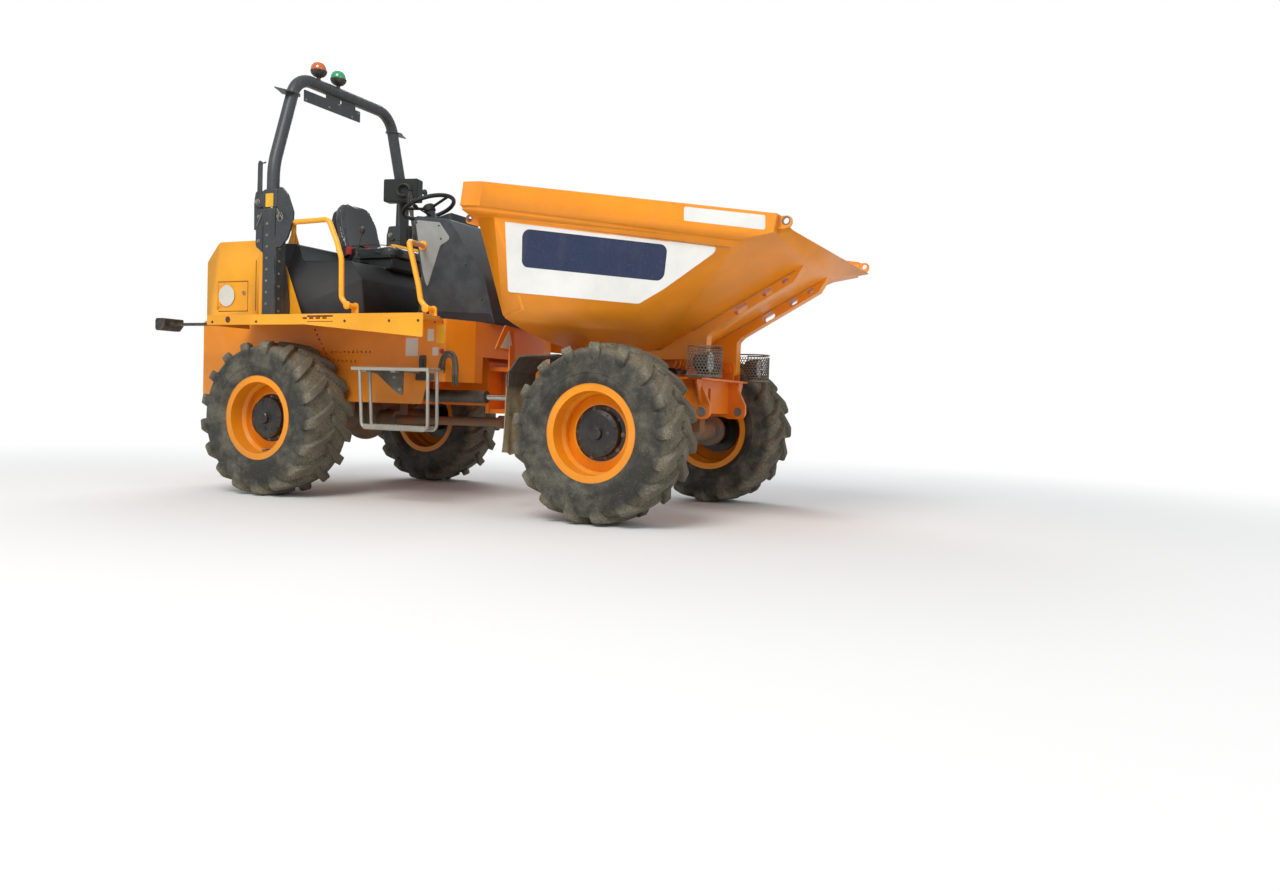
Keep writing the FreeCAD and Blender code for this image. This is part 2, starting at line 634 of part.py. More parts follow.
def lip_corners(inset):
    """The lip runs straight across: its outer ends fold up from the sloping sides."""
    up, deep, far = inset * 1.35, 160 + inset * 30, LIP.x if inset == 0 else 2600
    wide = S.skip_wall_y - inset
    corners = []
    for side in (-1, 1):
        wall, middle = V(WALL_FOLD.x, side * wide, WALL_FOLD.z + up), V(LIP_FOLD.x, side * S.skip_keel_y, LIP_FOLD.z + up)
        end = V(LIP.x, side * wide, LIP.z + up)
        rise = far - LIP.x
        lip = [middle, end, V(far, side * S.skip_keel_y, LIP.z + up + rise)]
        if rise > 0:
            lip.insert(2, V(far, side * wide, LIP.z + up + rise))
        for ring in ([wall, middle, end], lip):
            corners.append(Part.Face(Part.makePolygon(ring + [ring[0]])).extrude(V(0, 0, deep)))
    return corners[0].fuse(corners[1:])


def rim_band():
    """Folded rim outside the walls, following the sloping top edge."""
    along = RIM_FRONT - RIM_REAR
    along.normalize()
    down = V(-along.z, 0, along.x) * -1
    if down.z > 0:
        down = down * -1
    plan = ((165, S.skip_rear_y + 40), (360, S.skip_rail_y), (2212, S.skip_rail_y))
    inner = ((225, S.skip_rear_y - 10), (390, S.skip_wall_y - 3), (2195, S.skip_wall_y - 3))

    def ring(outline, drop):
        points = []
        for x, y in outline:
            base = RIM_REAR + along * ((x - RIM_REAR.x) / along.x) + down * drop
            points.append(V(base.x, y, base.z))
        points += [V(p.x, -p.y, p.z) for p in reversed(points)]
        return Part.makePolygon(points + [points[0]])

    box = Part.Face(ring(plan, 0)).extrude(down * 160)
    skirt = Part.makeLoft([ring(plan, 160), ring(inner, 200)], True, True)
    below = [V(1950, -1000, 1400), V(1950, -1000, 1532), V(2026, -1000, 1574), V(2333, -1000, 1626), V(2333, -1000, 1400)]
    return box.fuse(skirt).cut(Part.Face(Part.makePolygon(below + [below[0]])).extrude(V(0, 2000, 0)))


outer = skip_form(0)
cavity = skip_form(S.sheet)
shell = outer.fuse(rim_band()).cut(cavity).removeSplitter()
# The walls end short of the front lifting eyes
for side in (-1, 1):
    shell = shell.cut(Part.makeBox(84, 35, 80, V(2216, side * 882.5 - 17.5, 1640)))

# Ribs under the chute with the pivot legs
square = V(-math.sin(CHUTE_ANGLE), 0, math.cos(CHUTE_ANGLE))
rib_line = [(1060, S.skip_keel_z + 4), (1279, S.skip_keel_z + 4), (2180, S.skip_keel_z + 4 + 901 * math.tan(CHUTE_ANGLE)),
            (2120, S.skip_keel_z - 62 + 841 * math.tan(CHUTE_ANGLE), 30),
            (1625, S.skip_keel_z - 70 + 346 * math.tan(CHUTE_ANGLE), 40),
            (S.skip_pivot_x + 46, S.skip_pivot_z + 180, 40), (S.skip_pivot_x + 46, S.skip_pivot_z - 46, 45.5),
            (S.skip_pivot_x - 46, S.skip_pivot_z - 46, 45.5), (S.skip_pivot_x - 46, S.skip_keel_z - 52, 20),
            (1120, S.skip_keel_z - 52, 40)]
ribs = []
for side in (-1, 1):
    face = Part.Face(Part.Wire([g.toShape() for g in rounded(rib_line)]))
    face.rotate(V(0, 0, 0), V(1, 0, 0), 90)
    face.translate(V(0, side * S.rib_y + S.rib_half, 0))
    ribs.append(face.extrude(V(0, -2 * S.rib_half, 0)))
bores = [Part.makeCylinder(S.skip_pin_radius + S.running_gap, 4 * S.rib_half,
                           V(S.skip_pivot_x, side * S.rib_y - 2 * S.rib_half, S.skip_pivot_z), V(0, 1, 0))
         for side in (-1, 1)]
# x along the chute and size of the oval holes under it
for x, long, high in ((1800, 92, 46), (1960, 60, 34), (2070, 44, 22)):
    oval = Part.makeBox(long - high, 900, high, V(-(long - high) / 2, -450, -high / 2))
    for end in (-1, 1):
        oval = oval.fuse(Part.makeCylinder(high / 2, 900, V(end * (long - high) / 2, -450, 0), V(0, 1, 0)))
    oval.rotate(V(0, 0, 0), V(0, 1, 0), -math.degrees(CHUTE_ANGLE))
    oval.translate(V(x, 0, S.skip_keel_z + (x - 1279) * math.tan(CHUTE_ANGLE) - 14 - 0.5 * high))
    ribs = [rib.cut(oval.removeSplitter()) for rib in ribs]
whole_ribs = [rib.cut(shell).cut(bores[i]) for i, rib in enumerate(ribs)]
node(shaped("skip_ribs", Part.Compound([max(r.Solids, key=lambda s: s.Volume) for r in whole_ribs])), "skip_ribs")


# Skip's ram lugs under the keel and the lifting eyes at the rim
RAM_Y = 130
ram_eye = V(1290, 0, 955)
lug_side = [(ram_eye.x - 60, S.skip_keel_z + 60), (ram_eye.x - 60, S.skip_keel_z - 10, 20),
            (ram_eye.x - 34, ram_eye.z - 34, 26), (ram_eye.x + 34, ram_eye.z - 34, 26),
            (ram_eye.x + 60, S.skip_keel_z - 10, 20), (ram_eye.x + 60, S.skip_keel_z + 60)]
lug_face = Part.Face(Part.Wire([g.toShape() for g in rounded(lug_side)]))
lug_face.rotate(V(0, 0, 0), V(1, 0, 0), 90)
ram_lugs = []
for side in (-1, 1):
    for inner in (-1, 1):
        middle = side * RAM_Y + inner * 39
        lug = lug_face.copy()
        lug.translate(V(0, middle + 6, 0))
        ram_lugs.append(lug.extrude(V(0, -12, 0)).cut(cavity))
        ram_lugs.append(Part.makeCylinder(22, 10, V(ram_eye.x, middle + inner * 5, ram_eye.z), V(0, inner, 0)))

eyes = []
# tag, hole's x and z, middle of the plate across, outline round the hole with corner radii
EYES = (
    ("rear", 165, 1803, 760, ((100, 30), (-26, 26, 24), (-26, -26, 24), (100, -60))),
    ("front", 2250, 1668, 888, ((-72, -38), (-72, 26), (31, 26, 26), (31, -30, 28), (-12, -42, 12))),
)
EYE_BORE, EYE_HALF = 16, 8
for tag, x, z, y, outline in EYES:
    flat = Part.Face(Part.Wire([g.toShape() for g in rounded([(x + p[0], z + p[1]) + tuple(p[2:]) for p in outline])]))
    flat.rotate(V(0, 0, 0), V(1, 0, 0), 90)
    for side in (-1, 1):
        eye = flat.copy()
        eye.translate(V(0, side * y + EYE_HALF, 0))
        eye = eye.extrude(V(0, -2 * EYE_HALF, 0))
        if tag == "front":
            eye = eye.fuse(Part.makeBox(30, 10, 40, V(x - 68, side * (y - 11) - 5, z - 30)))
        eye = eye.cut(Part.makeCylinder(EYE_BORE, 60, V(x, side * y - 30, z), V(0, 1, 0))).cut(shell)
        eyes.append(max(eye.Solids, key=lambda piece: piece.Volume))
node(shaped("skip_shell_node", shell.fuse(eyes + ram_lugs).removeSplitter()), "skip_shell")

# Tipping rams: two barrels on a cross pin of the front chassis, rods to the skip
ram_base = RAM_BASE
ram_line = ram_eye - ram_base
ram_way = V(ram_line.x, 0, ram_line.z)
ram_way.normalize()
barrels, rods = [], []
for side in (-1, 1):
    across = V(0, side * RAM_Y, 0)
    foot = ram_base + across
    head_at = foot + ram_way * (ram_line.Length - 75)
    barrel = rod("ram_tube%d" % side, 42, tuple(foot + ram_way * 45), tuple(head_at))
    eye = rod("ram_foot%d" % side, 38, tuple(foot - V(0, 27, 0)), tuple(foot + V(0, 27, 0)))
    neck = rod("ram_neck%d" % side, 24, tuple(foot), tuple(foot + ram_way * 60))
    solid = fused("ram_solid%d" % side, [barrel, eye, neck])
    ways = fused("ram_ways%d" % side, [
        rod("ram_foot_way%d" % side, 20.3, tuple(foot - V(0, 60, 0)), tuple(foot + V(0, 60, 0))),
        rod("ram_bore%d" % side, 26.3, tuple(foot + ram_way * 80), tuple(head_at + ram_way * 50)),
    ])
    barrels.append(carved("ram_barrel%d" % side, solid, ways))
    eye_at = ram_eye + across
    shank = rod("ram_rod%d" % side, 26, tuple(foot + ram_way * 95), tuple(eye_at - ram_way * 8))
    rod_eye = rod("ram_rod_eye%d" % side, 34, tuple(eye_at - V(0, 26, 0)), tuple(eye_at + V(0, 26, 0)))
    rods.append(fused("ram_rod_solid%d" % side, [shank, rod_eye]))
node(group("tip_ram_barrels_node", barrels), "tip_ram_barrels")
node(group("tip_ram_rods_node", rods), "tip_ram_rods")
# Rear body: sides with the sheet at body_y, angled front corners for steering room
SIDE_REAR_X, SIDE_STEP_X, SIDE_FRONT_X, NOSE_X, NOSE_Y = S.tail_x + 43, -254, -70, 6, 440
side_outline = [(SIDE_REAR_X, S.body_low, 30), (-1240, S.body_low), (SIDE_STEP_X, S.body_low, 20),
                (SIDE_STEP_X + 40, 790, 20), (SIDE_FRONT_X, 790), (SIDE_FRONT_X, S.floor_z - S.sheet - 0.3),
                (SIDE_REAR_X, S.floor_z - S.sheet - 0.3)]
right_side = prism("side_right", "XZ", rounded(side_outline), -S.body_y, -S.body_y + S.sheet)
axle_arch = rod("side_axle_way", 110, (S.rear_axle_x, -900, S.tyre_radius), (S.rear_axle_x, -500, S.tyre_radius))
# rows of small round holes: from (x, z), to (x, z), how many
HOLE_ROWS = (
    ((-1173, 1125), (-1051, 933), 7),
    ((-1015, 974), (-687, 977), 10),
    ((-1033, 914), (-814, 915), 7),
    ((-987, 859), (-935, 859), 2),
)
side_ways = [axle_arch]
for start, end, count in HOLE_ROWS:
    for i in range(count):
        part = i / (count - 1)
        x, z = start[0] + (end[0] - start[0]) * part, start[1] + (end[1] - start[1]) * part
        side_ways.append(rod("side_hole%d" % len(side_ways), 8, (x, -S.body_y - 20, z), (x, -S.body_y + 30, z)))
right_panel = carved("side_panel_right_node", right_side, fused("side_ways", side_ways))
node(group("side_panels_node", [right_panel, mirrored("side_panel_left_node", right_panel)]), "side_panels")

corner = [(SIDE_FRONT_X + 0.3, -S.body_y), (SIDE_FRONT_X + 2, -S.body_y), (NOSE_X, -NOSE_Y), (NOSE_X, NOSE_Y),
          (SIDE_FRONT_X + 2, S.body_y), (SIDE_FRONT_X + 0.3, S.body_y), (SIDE_FRONT_X + 0.3, S.body_y - S.sheet),
          (NOSE_X - S.sheet, NOSE_Y - 4), (NOSE_X - S.sheet, 4 - NOSE_Y), (SIDE_FRONT_X + 0.3, S.sheet - S.body_y)]
nose = prism("bulkhead_bend", "XY", rounded(corner), 790, S.floor_z - 1)
nose_way = block("bulkhead_way", (-100, 60), (-350, 350), (700, 965))
FLOOR_REAR_X = S.tail_front_x + 0.3
floor_outline = [(FLOOR_REAR_X, -S.body_y + 0.3), (SIDE_FRONT_X, -S.body_y + 0.3), (NOSE_X, -NOSE_Y), (NOSE_X, NOSE_Y),
                 (SIDE_FRONT_X, S.body_y - 0.3), (FLOOR_REAR_X, S.body_y - 0.3)]
floor_plate = prism("floor_plate", "XY", rounded(floor_outline), S.floor_z - S.sheet, S.floor_z)
node(fused("cab_floor_node", [floor_plate, carved("bulkhead", nose, nose_way)]), "cab_floor")

# Running boards over the rear wheels: top plate, deep skirt and end plates
board_top = [(S.board_rear_x, -S.body_y), (S.board_rear_x, -S.board_y), (S.board_front_x, -S.board_y),
             (-92, -S.body_y)]
skirt = [(S.board_rear_x, S.floor_z - 4), (S.board_rear_x, S.skirt_rear_low, 8), (S.skirt_kink_x, S.skirt_rear_low),
         (S.board_front_x, S.skirt_front_low, 8), (S.board_front_x, S.floor_z - 4)]
board_parts = [
    prism("board_top", "XY", rounded(board_top), S.floor_z - S.sheet, S.floor_z),
    prism("board_skirt", "XZ", rounded(skirt), -S.board_y, -S.board_y + S.sheet),
    block("board_end", ("Sizes.board_rear_x", "Sizes.board_rear_x + Sizes.sheet"),
          ("-Sizes.board_y + 2", -700), ("Sizes.skirt_rear_low", "Sizes.floor_z - 2")),
]
slots = [block("grip_slot%d" % i, (-900 + 55 * i, -862 + 55 * i), ("-Sizes.board_y - 5", "-Sizes.board_y + 20"),
               ("Sizes.floor_z - 34", "Sizes.floor_z - 20")) for i in range(4)]
right_board = carved("board_right_node", fused("board_right_solid", board_parts), fused("grip_slots", slots))
node(group("boards_node", [right_board, mirrored("board_left_node", right_board)]), "running_boards")

# Counterweight with rounded corners and the tow hitch jaws
weight_plan = [(S.tail_front_x, -S.body_y + S.sheet + 0.3), (S.tail_x + 30, -S.body_y + S.sheet + 0.3, 40),
               (S.tail_x, -560, 60), (S.tail_x, 560, 60), (S.tail_x + 30, S.body_y - S.sheet - 0.3, 40),
               (S.tail_front_x, S.body_y - S.sheet - 0.3)]
weight = prism("weight_solid", "XY", rounded(weight_plan), S.body_low - 20, S.tail_high)
beam_room = fused("weight_ways", [
    block("weight_way%d" % side, ("Sizes.tail_x + 23", "Sizes.tail_front_x + 10"),
          ("%d*Sizes.beam_y - %s" % (side, "1" if side < 0 else "(Sizes.beam_thick + 1)"),
           "%d*Sizes.beam_y + %s" % (side, "(Sizes.beam_thick + 1)" if side < 0 else "1")),
          ("Sizes.rear_beam_low - 40", "Sizes.rear_beam_high + 0.3")) for side in (-1, 1)])
HITCH = V(S.tail_x + 45, 0, 740)
hitch_room = fused("hitch_room", [
    block("hitch_mouth", ("Sizes.tail_x - 20", "Sizes.tail_x + 110"), (-110, 110), (HITCH.z - 50, HITCH.z + 50)),
    block("hitch_hand", ("Sizes.tail_x - 20", "Sizes.tail_x + 110"), (-80, 80), (HITCH.z + 75, HITCH.z + 330)),
    rod("hitch_way", 16, (HITCH.x, 0, HITCH.z - 200), (HITCH.x, 0, HITCH.z + 110))])
node(carved("counterweight_node", carved("weight_slotted", weight, beam_room), hitch_room), "counterweight")

# Engine as one plain block between the beams
engine_feet = block("engine_feet", (-1760, -1600), ("Sizes.beam_thick + 0.3 - Sizes.beam_y",
                                                   "Sizes.beam_y - Sizes.beam_thick - 0.3"), (760, 800))
node(fused("engine_node", [block("engine_block", (-1890, -1430), (-270, 270), (700, 1180)), engine_feet]), "engine")

# Engine cover: hollow hood with an access door on the right
cover_outline = [(S.cover_front_x, S.cover_low), (S.cover_front_x, S.cover_high, 30),
                 (S.cover_rear_x + 120, S.cover_high, 50), (S.cover_rear_x, S.cover_high - 140, 60),
                 (S.cover_rear_x, S.cover_low)]
cover = prism("cover_outside", "XZ", rounded(cover_outline), -S.cover_y, S.cover_y)
inner_outline = [(S.cover_front_x - S.sheet, S.cover_low - 20), (S.cover_front_x - S.sheet, S.cover_high - S.sheet, 22),
                 (S.cover_rear_x + 124, S.cover_high - S.sheet, 42), (S.cover_rear_x + S.sheet, S.cover_high - 144, 52),
                 (S.cover_rear_x + S.sheet, S.cover_low - 20)]
hollow = prism("cover_inside", "XZ", rounded(inner_outline), -S.cover_y + S.sheet, S.cover_y - S.sheet)
DOOR = (-2165, -1875, 1270, 1480)
door_way = block("door_way", (DOOR[0] - 3, DOOR[1] + 3), ("-Sizes.cover_y - 10", "-Sizes.cover_y + 30"),
                 (DOOR[2] - 3, DOOR[3] + 3))
node(carved("engine_cover_node", carved("cover_shell", cover, hollow), door_way), "engine_cover")
door = prism("door_plate", "XZ", rounded([(DOOR[0], DOOR[2], 12), (DOOR[1], DOOR[2], 12), (DOOR[1], DOOR[3], 12),
                                          (DOOR[0], DOOR[3], 12)]), -S.cover_y, -S.cover_y + S.sheet)
door_lock = rod("door_lock", 17, (DOOR[1] - 30, -S.cover_y + 2, 1400), (DOOR[1] - 30, -S.cover_y - 6, 1400))
door_hinge = rod("door_hinge", 7, (DOOR[0] - 1, -S.cover_y - 7.5, DOOR[2] + 25),
                 (DOOR[0] - 1, -S.cover_y - 7.5, DOOR[3] - 25))
door_leaf = block("door_leaf", (DOOR[0], DOOR[0] + 30), ("-Sizes.cover_y - 5", "-Sizes.cover_y + 2"),
                  (DOOR[2] + 30, DOOR[3] - 30))
node(fused("access_door_node", [door, door_lock, door_hinge, door_leaf]), "access_door")

# Roll bar posts with hinge tongues
HINGE = (S.hoop_hinge_x, S.hoop_hinge_z)
posts = []
for side in (-1, 1):
    y = side * S.post_y
    post = block("post%d" % side, ("Sizes.post_x - Sizes.post_length/2", "Sizes.post_x + Sizes.post_length/2"),
                 ("%d*Sizes.post_y - Sizes.post_width/2" % side, "%d*Sizes.post_y + Sizes.post_width/2" % side),
                 ("Sizes.floor_z + 0.3", "Sizes.post_top"))
    foot = block("post_foot%d" % side, ("Sizes.post_x - 150", "Sizes.post_x + 150"),
                 ("%d*Sizes.post_y - 49" % side, "%d*Sizes.post_y + 49" % side),
                 ("Sizes.floor_z + 0.3", "Sizes.floor_z + 16"))
    tongue = prism("post_tongue%d" % side, "XZ",
                   rounded([(HINGE[0] - 52, S.post_top - 140), (HINGE[0] + 60, S.post_top - 140),
                            (HINGE[0] + 60, S.post_top + 40, 30), (HINGE[0] + 46, HINGE[1] + 48, 40),
                            (HINGE[0] - 52, HINGE[1] + 48, 50)]), y - 20, y + 20)
    way = rod("post_way%d" % side, 16.3, (HINGE[0], y - 60, HINGE[1]), (HINGE[0], y + 60, HINGE[1]))
    posts.append(carved("post_node%d" % side, fused("post_solid%d" % side, [post, foot, tongue]), way))
node(group("posts_node", posts), "rops_posts")

# Hoop: one bent tube on hinge plates, leaning in towards the top
hoop_path = [(S.post_x, -S.post_y, 2075), (S.post_x, -S.post_y + 4, 2330, 700), (S.post_x, -S.hoop_top_y, S.hoop_top_z, 190),
             (S.post_x, S.hoop_top_y, S.hoop_top_z, 190), (S.post_x, S.post_y - 4, 2330, 700),
             (S.post_x, S.post_y, 2075)]
hoop_parts = [tube("hoop_tube", hoop_path, S.hoop_radius)]
for side in (-1, 1):
    y = side * S.post_y
    hoop_parts.append(block("hoop_base%d" % side, ("Sizes.post_x - 62", "Sizes.post_x + 62"),
                            ("%d*Sizes.post_y - 48" % side, "%d*Sizes.post_y + 48" % side), (2068, 2084)))
    for inner in (-1, 1):
        low = y + inner * 22 - (14 if inner < 0 else 0)
        hoop_parts.append(prism("hoop_ear%d%d" % (side, inner), "XZ",
                                rounded([(HINGE[0] - 46, HINGE[1] - 46, 45), (HINGE[0] + 46, HINGE[1] - 34, 40),
                                         (S.post_x + 60, 2040, 20), (S.post_x + 60, 2084),
                                         (HINGE[0] - 20, 2084, 10)]), low, low + 14))
    hoop_parts.append(rod("hoop_pin%d" % side, 16, (HINGE[0], y - 46, HINGE[1]), (HINGE[0], y + 46, HINGE[1])))
# Board under the top bar, then the two beacons on it
BAR = S.hoop_top_z
hoop_parts.append(block("top_board", (S.post_x + 6, S.post_x + 24), (-430, 90), (BAR - 135, BAR - 62)))
for y in (-390, 20):
    hoop_parts.append(block("top_strap%d" % y, (S.post_x - 6, S.post_x + 8), (y, y + 24), (BAR - 120, BAR - 20)))
node(fused("rops_hoop_node", hoop_parts), "rops_hoop")
beacons = []
for tag, y, wide in (("amber", -300, 46), ("green", -135, 42)):
    foot_z = BAR + S.hoop_radius + 0.3
    stalk = rod("beacon_stalk_" + tag, 14, (S.post_x, y, foot_z), (S.post_x, y, foot_z + 40))
    base = rod("beacon_base_" + tag, wide, (S.post_x, y, foot_z + 34), (S.post_x, y, foot_z + 52))
    drum = rod("beacon_drum_" + tag, wide - 5, (S.post_x, y, foot_z + 50), (S.post_x, y, foot_z + 78))
    dome = DOC.addObject("Part::Sphere", "beacon_dome_" + tag)
    dome.Radius = wide - 5
    dome.Placement = place(S.post_x, y, foot_z + 78)
    beacons.append(fused("beacon_" + tag, [stalk, base, drum, dome]))
node(group("beacons_node", beacons), "beacons")

# Seat: moulded surround, base, cushion and back
seat_side = [(-1719, S.floor_z + 0.3), (-820, S.floor_z + 0.3), (-860, 1480, 60), (-960, 1610, 60),
             (-1390, 1620), (-1440, 1740, 30), (-1719, 1760)]
node(fused("seat_base_node", [prism("seat_box", "XZ", rounded(seat_side), -560, 560),
                              block("seat_plinth", (-1370, -900), (-200, 200), (1600, 1680))]), "seat_surround")
node(prism("seat_cushion_node", "XZ", rounded([(-1340, 1680.3, 20), (-860, 1680.3, 40), (-850, 1775, 50),
                                               (-1340, 1765, 40)]), -235, 235), "seat_cushion")
node(prism("seat_back_node", "XZ", rounded([(-1368, 1680.3), (-1341, 1680.3), (-1341, 1772), (-1300, 1772, 15),
                                            (-1400, 2140, 45), (-1490, 2140, 45), (-1455, 1746), (-1395, 1746),
                                            (-1368, 1700)]), -240, 240), "seat_back")

# Console with cowl, column and wheel
cowl = [(-600, S.floor_z + 0.3), (-560, 1480, 60), (-650, 1950, 30), (-350, 1915, 60), (-40, 1500, 200),
        (44, S.floor_z + 0.3)]
cowl_solid = prism("cowl", "XZ", rounded(cowl), -280, 280)
WHEEL = V(-735, 0, 2065)
WHEEL_UP = V(-math.sin(math.radians(22)), 0, math.cos(math.radians(22)))
foot = WHEEL - WHEEL_UP * 170
node(fused("console_node", [cowl_solid, rod("column_tube", 34, tuple(foot), tuple(WHEEL - WHEEL_UP * 34)),
                            block("column_arm", (-735, -560), (-60, 60), (1880, 1930))]), "console")
ring = DOC.addObject("Part::Torus", "wheel_ring")
ring.Radius1 = 185
ring.Radius2 = 15
ring.Placement = FreeCAD.Placement(WHEEL, FreeCAD.Rotation(V(0, 0, 1), WHEEL_UP))
spokes = [rod("wheel_hub", 42, tuple(WHEEL - WHEEL_UP * 33.7), tuple(WHEEL + WHEEL_UP * 8))]
for i, degrees in enumerate((0, 120, 240)):
    turn = FreeCAD.Rotation(WHEEL_UP, degrees)
    way = turn.multVec(V(math.cos(math.radians(22)), 0, math.sin(math.radians(22))))
    spokes.append(rod("wheel_spoke%d" % i, 10, tuple(WHEEL - WHEEL_UP * 14), tuple(WHEEL + way * 185)))
node(fused("steering_wheel_node", [ring] + spokes), "steering_wheel")

# Handrails: two tubes each side, standing on the running boards
FOOT_Z = S.floor_z + 0.3
rear_rail = [(-1250, -S.rail_y, FOOT_Z), (-1250, -S.rail_y, 1700, 60), (-1205, -S.rail_y, 1838, 60),
             (-935, -S.rail_y, 1845, 60), (-850, -S.rail_y, 1620, 160), (-840, -S.rail_y, 1400, 160),
             (-760, -S.rail_y, 1290, 60), (-760, -S.rail_y, FOOT_Z)]
front_rail = [(-300, -280.3, 1695), (-300, -520, 1695, 90), (-310, -760, 1704, 60), (-300, -S.rail_y, 1640, 60),
              (-235, -S.rail_y, 1500, 200), (-165, -S.rail_y, 1340, 120), (-100, -S.rail_y, 1280, 50),
              (-100, -S.rail_y, FOOT_Z)]
right_rails = [tube("rail_rear_right", rear_rail, S.rail_radius), tube("rail_front_right", front_rail, S.rail_radius)]
left_rails = [mirrored("rail_left%d" % i, piece) for i, piece in enumerate(right_rails)]
node(group("rails_node", right_rails + left_rails), "handrails")

# Steps: upper tread, hanging U frame, lower tread and gusset
def step(tag):
    y_out = -S.step_y
    drop = [(-530, y_out + 11, 850), (-505, y_out + 11, 480, 40), (14, y_out + 11, 480, 40), (6, y_out + 11, 850)]
    frame = tube("step_frame_" + tag, drop, 11)
    inner_drop = [(p[0], y_out + 105) + tuple(p[2:]) for p in drop]
    inner = tube("step_inner_" + tag, inner_drop, 11)
    parts = [frame, inner,
             block("step_upper_" + tag, (-590, 20), (y_out, y_out + 120), (846, 862)),
             block("step_lower_" + tag, (-480, -5), (y_out + 2, y_out + 114), (476, 500)),
             block("step_arm_a_" + tag, (-560, -520), (y_out + 60, "-Sizes.body_y - 0.3"), (834, 848)),
             block("step_arm_b_" + tag, (-330, -290), (y_out + 60, "-Sizes.body_y - 0.3"), (834, 848))]
    gusset = prism("step_gusset_" + tag, "XZ", rounded([(-470, 847), (-260, 847), (-260, 690, 15)]),
                   y_out + 108, y_out + 116)
    return fused("step_node_" + tag, parts + [gusset])


right_step = step("right")
node(group("steps_node", [right_step, mirrored("step_left_node", right_step)]), "steps")

# Rear lamps on arms behind the running boards
arm = block("lamp_arm", (-2200, "Sizes.board_rear_x - 0.3"), (-1000, -940), (1132, 1150))
arm_end = block("lamp_arm_end", ("Sizes.board_rear_x - 12", "Sizes.board_rear_x - 0.3"), (-1010, -930), (1130, 1185))
case = prism("lamp_case", "XZ", rounded([(-2283, 1095, 12), (-2215, 1095, 12), (-2180, 1130, 8), (-2180, 1180, 8),
                                         (-2283, 1180, 12)]), -1050, -890)
right_lamp = fused("rear_lamp_solid", [arm, arm_end, case])
node(group("rear_lamps_node", [right_lamp, mirrored("rear_lamp_left", right_lamp)]), "rear_lamps")

# Front mudguards with hanging flaps behind the front wheels, and headlamps in guards
GUARD_X, GUARD_Y = 500, (-790, -480)
hood = [(GUARD_X - 8, 770), (GUARD_X - 8, 860, 20), (GUARD_X + 70, 958, 30), (GUARD_X + 330, 968),
        (GUARD_X + 330, 960), (GUARD_X + 74, 950, 24), (GUARD_X, 857, 14), (GUARD_X, 770)]
hood_piece = prism("mudguard_hood", "XZ", rounded(hood), GUARD_Y[0], GUARD_Y[1])
strap = block("mudguard_strip", (GUARD_X - 20, GUARD_X - 13), (GUARD_Y[0], GUARD_Y[1]), (772, 840))
hood_arm = block("mudguard_arm", (GUARD_X + 120, GUARD_X + 180), (GUARD_Y[1] - 30, "-Sizes.beam_y - 0.3"), (860, 880))
hood_stay = block("mudguard_stay", (GUARD_X + 120, GUARD_X + 180), (GUARD_Y[1] - 30, GUARD_Y[1] - 18), (862, 955))
flap = prism("flap_solid", "YZ", rounded([(GUARD_Y[0], 345), (GUARD_Y[0] + 130, 350, 120), (GUARD_Y[1], 560, 60),
                                          (GUARD_Y[1], 800), (GUARD_Y[0], 800)]), GUARD_X - 14, GUARD_X - 8)
right_guard = fused("mudguard_solid", [hood_piece, strap, hood_arm, hood_stay, flap])
node(group("mudguards_node", [right_guard, mirrored("mudguard_left", right_guard)]), "mudguards")

LAMP = (1630, -440)
sleeve = Part.makeCylinder(100, 180, V(LAMP[0], LAMP[1], 861))
sleeve = sleeve.cut(Part.makeCylinder(96, 200, V(LAMP[0], LAMP[1], 850)))
sleeve = sleeve.cut(Part.makeBox(300, 300, 300, V(LAMP[0] - 380, LAMP[1] - 150, 800)))
# six-sided holes in staggered rows: angle from straight ahead to the right, height above the tray
HOLE, ROWS = 14.5, (34, 64, 94, 124, 154)
cutters = []
for row, up in enumerate(ROWS):
    for column in range(4):
        turn = -128 + 19 * column + (9.5 if row % 2 else 0)
        way = V(math.cos(math.radians(turn)), math.sin(math.radians(turn)), 0)
        across = V(-way.y, way.x, 0)
        corners = []
        for i in range(6):
            corner = math.radians(30 + 60 * i)
            corners.append(V(LAMP[0], LAMP[1], 858 + up) + way * 80 + across * HOLE * math.cos(corner)
                           + V(0, 0, HOLE * math.sin(corner)))
        cutters.append(Part.Face(Part.makePolygon(corners + [corners[0]])).extrude(way * 40))
sleeve = sleeve.cut(cutters[0].fuse(cutters[1:]))
guard = shaped("lamp_sleeve", sleeve)
tray = rod("lamp_tray", 100, (LAMP[0], LAMP[1], 858.3), (LAMP[0], LAMP[1], 864))
lamp_body = rod("headlamp_body", 64, (LAMP[0] - 60, LAMP[1], 948), (LAMP[0] + 40, LAMP[1], 948))
lamp_stalk = rod("headlamp_stalk", 14, (LAMP[0] - 10, LAMP[1], 860), (LAMP[0] - 10, LAMP[1], 900))
right_sleeve = fused("lamp_guard_solid", [guard, tray, lamp_body, lamp_stalk])
node(group("headlamps_node", [right_sleeve, mirrored("headlamp_left", right_sleeve)]), "headlamps")

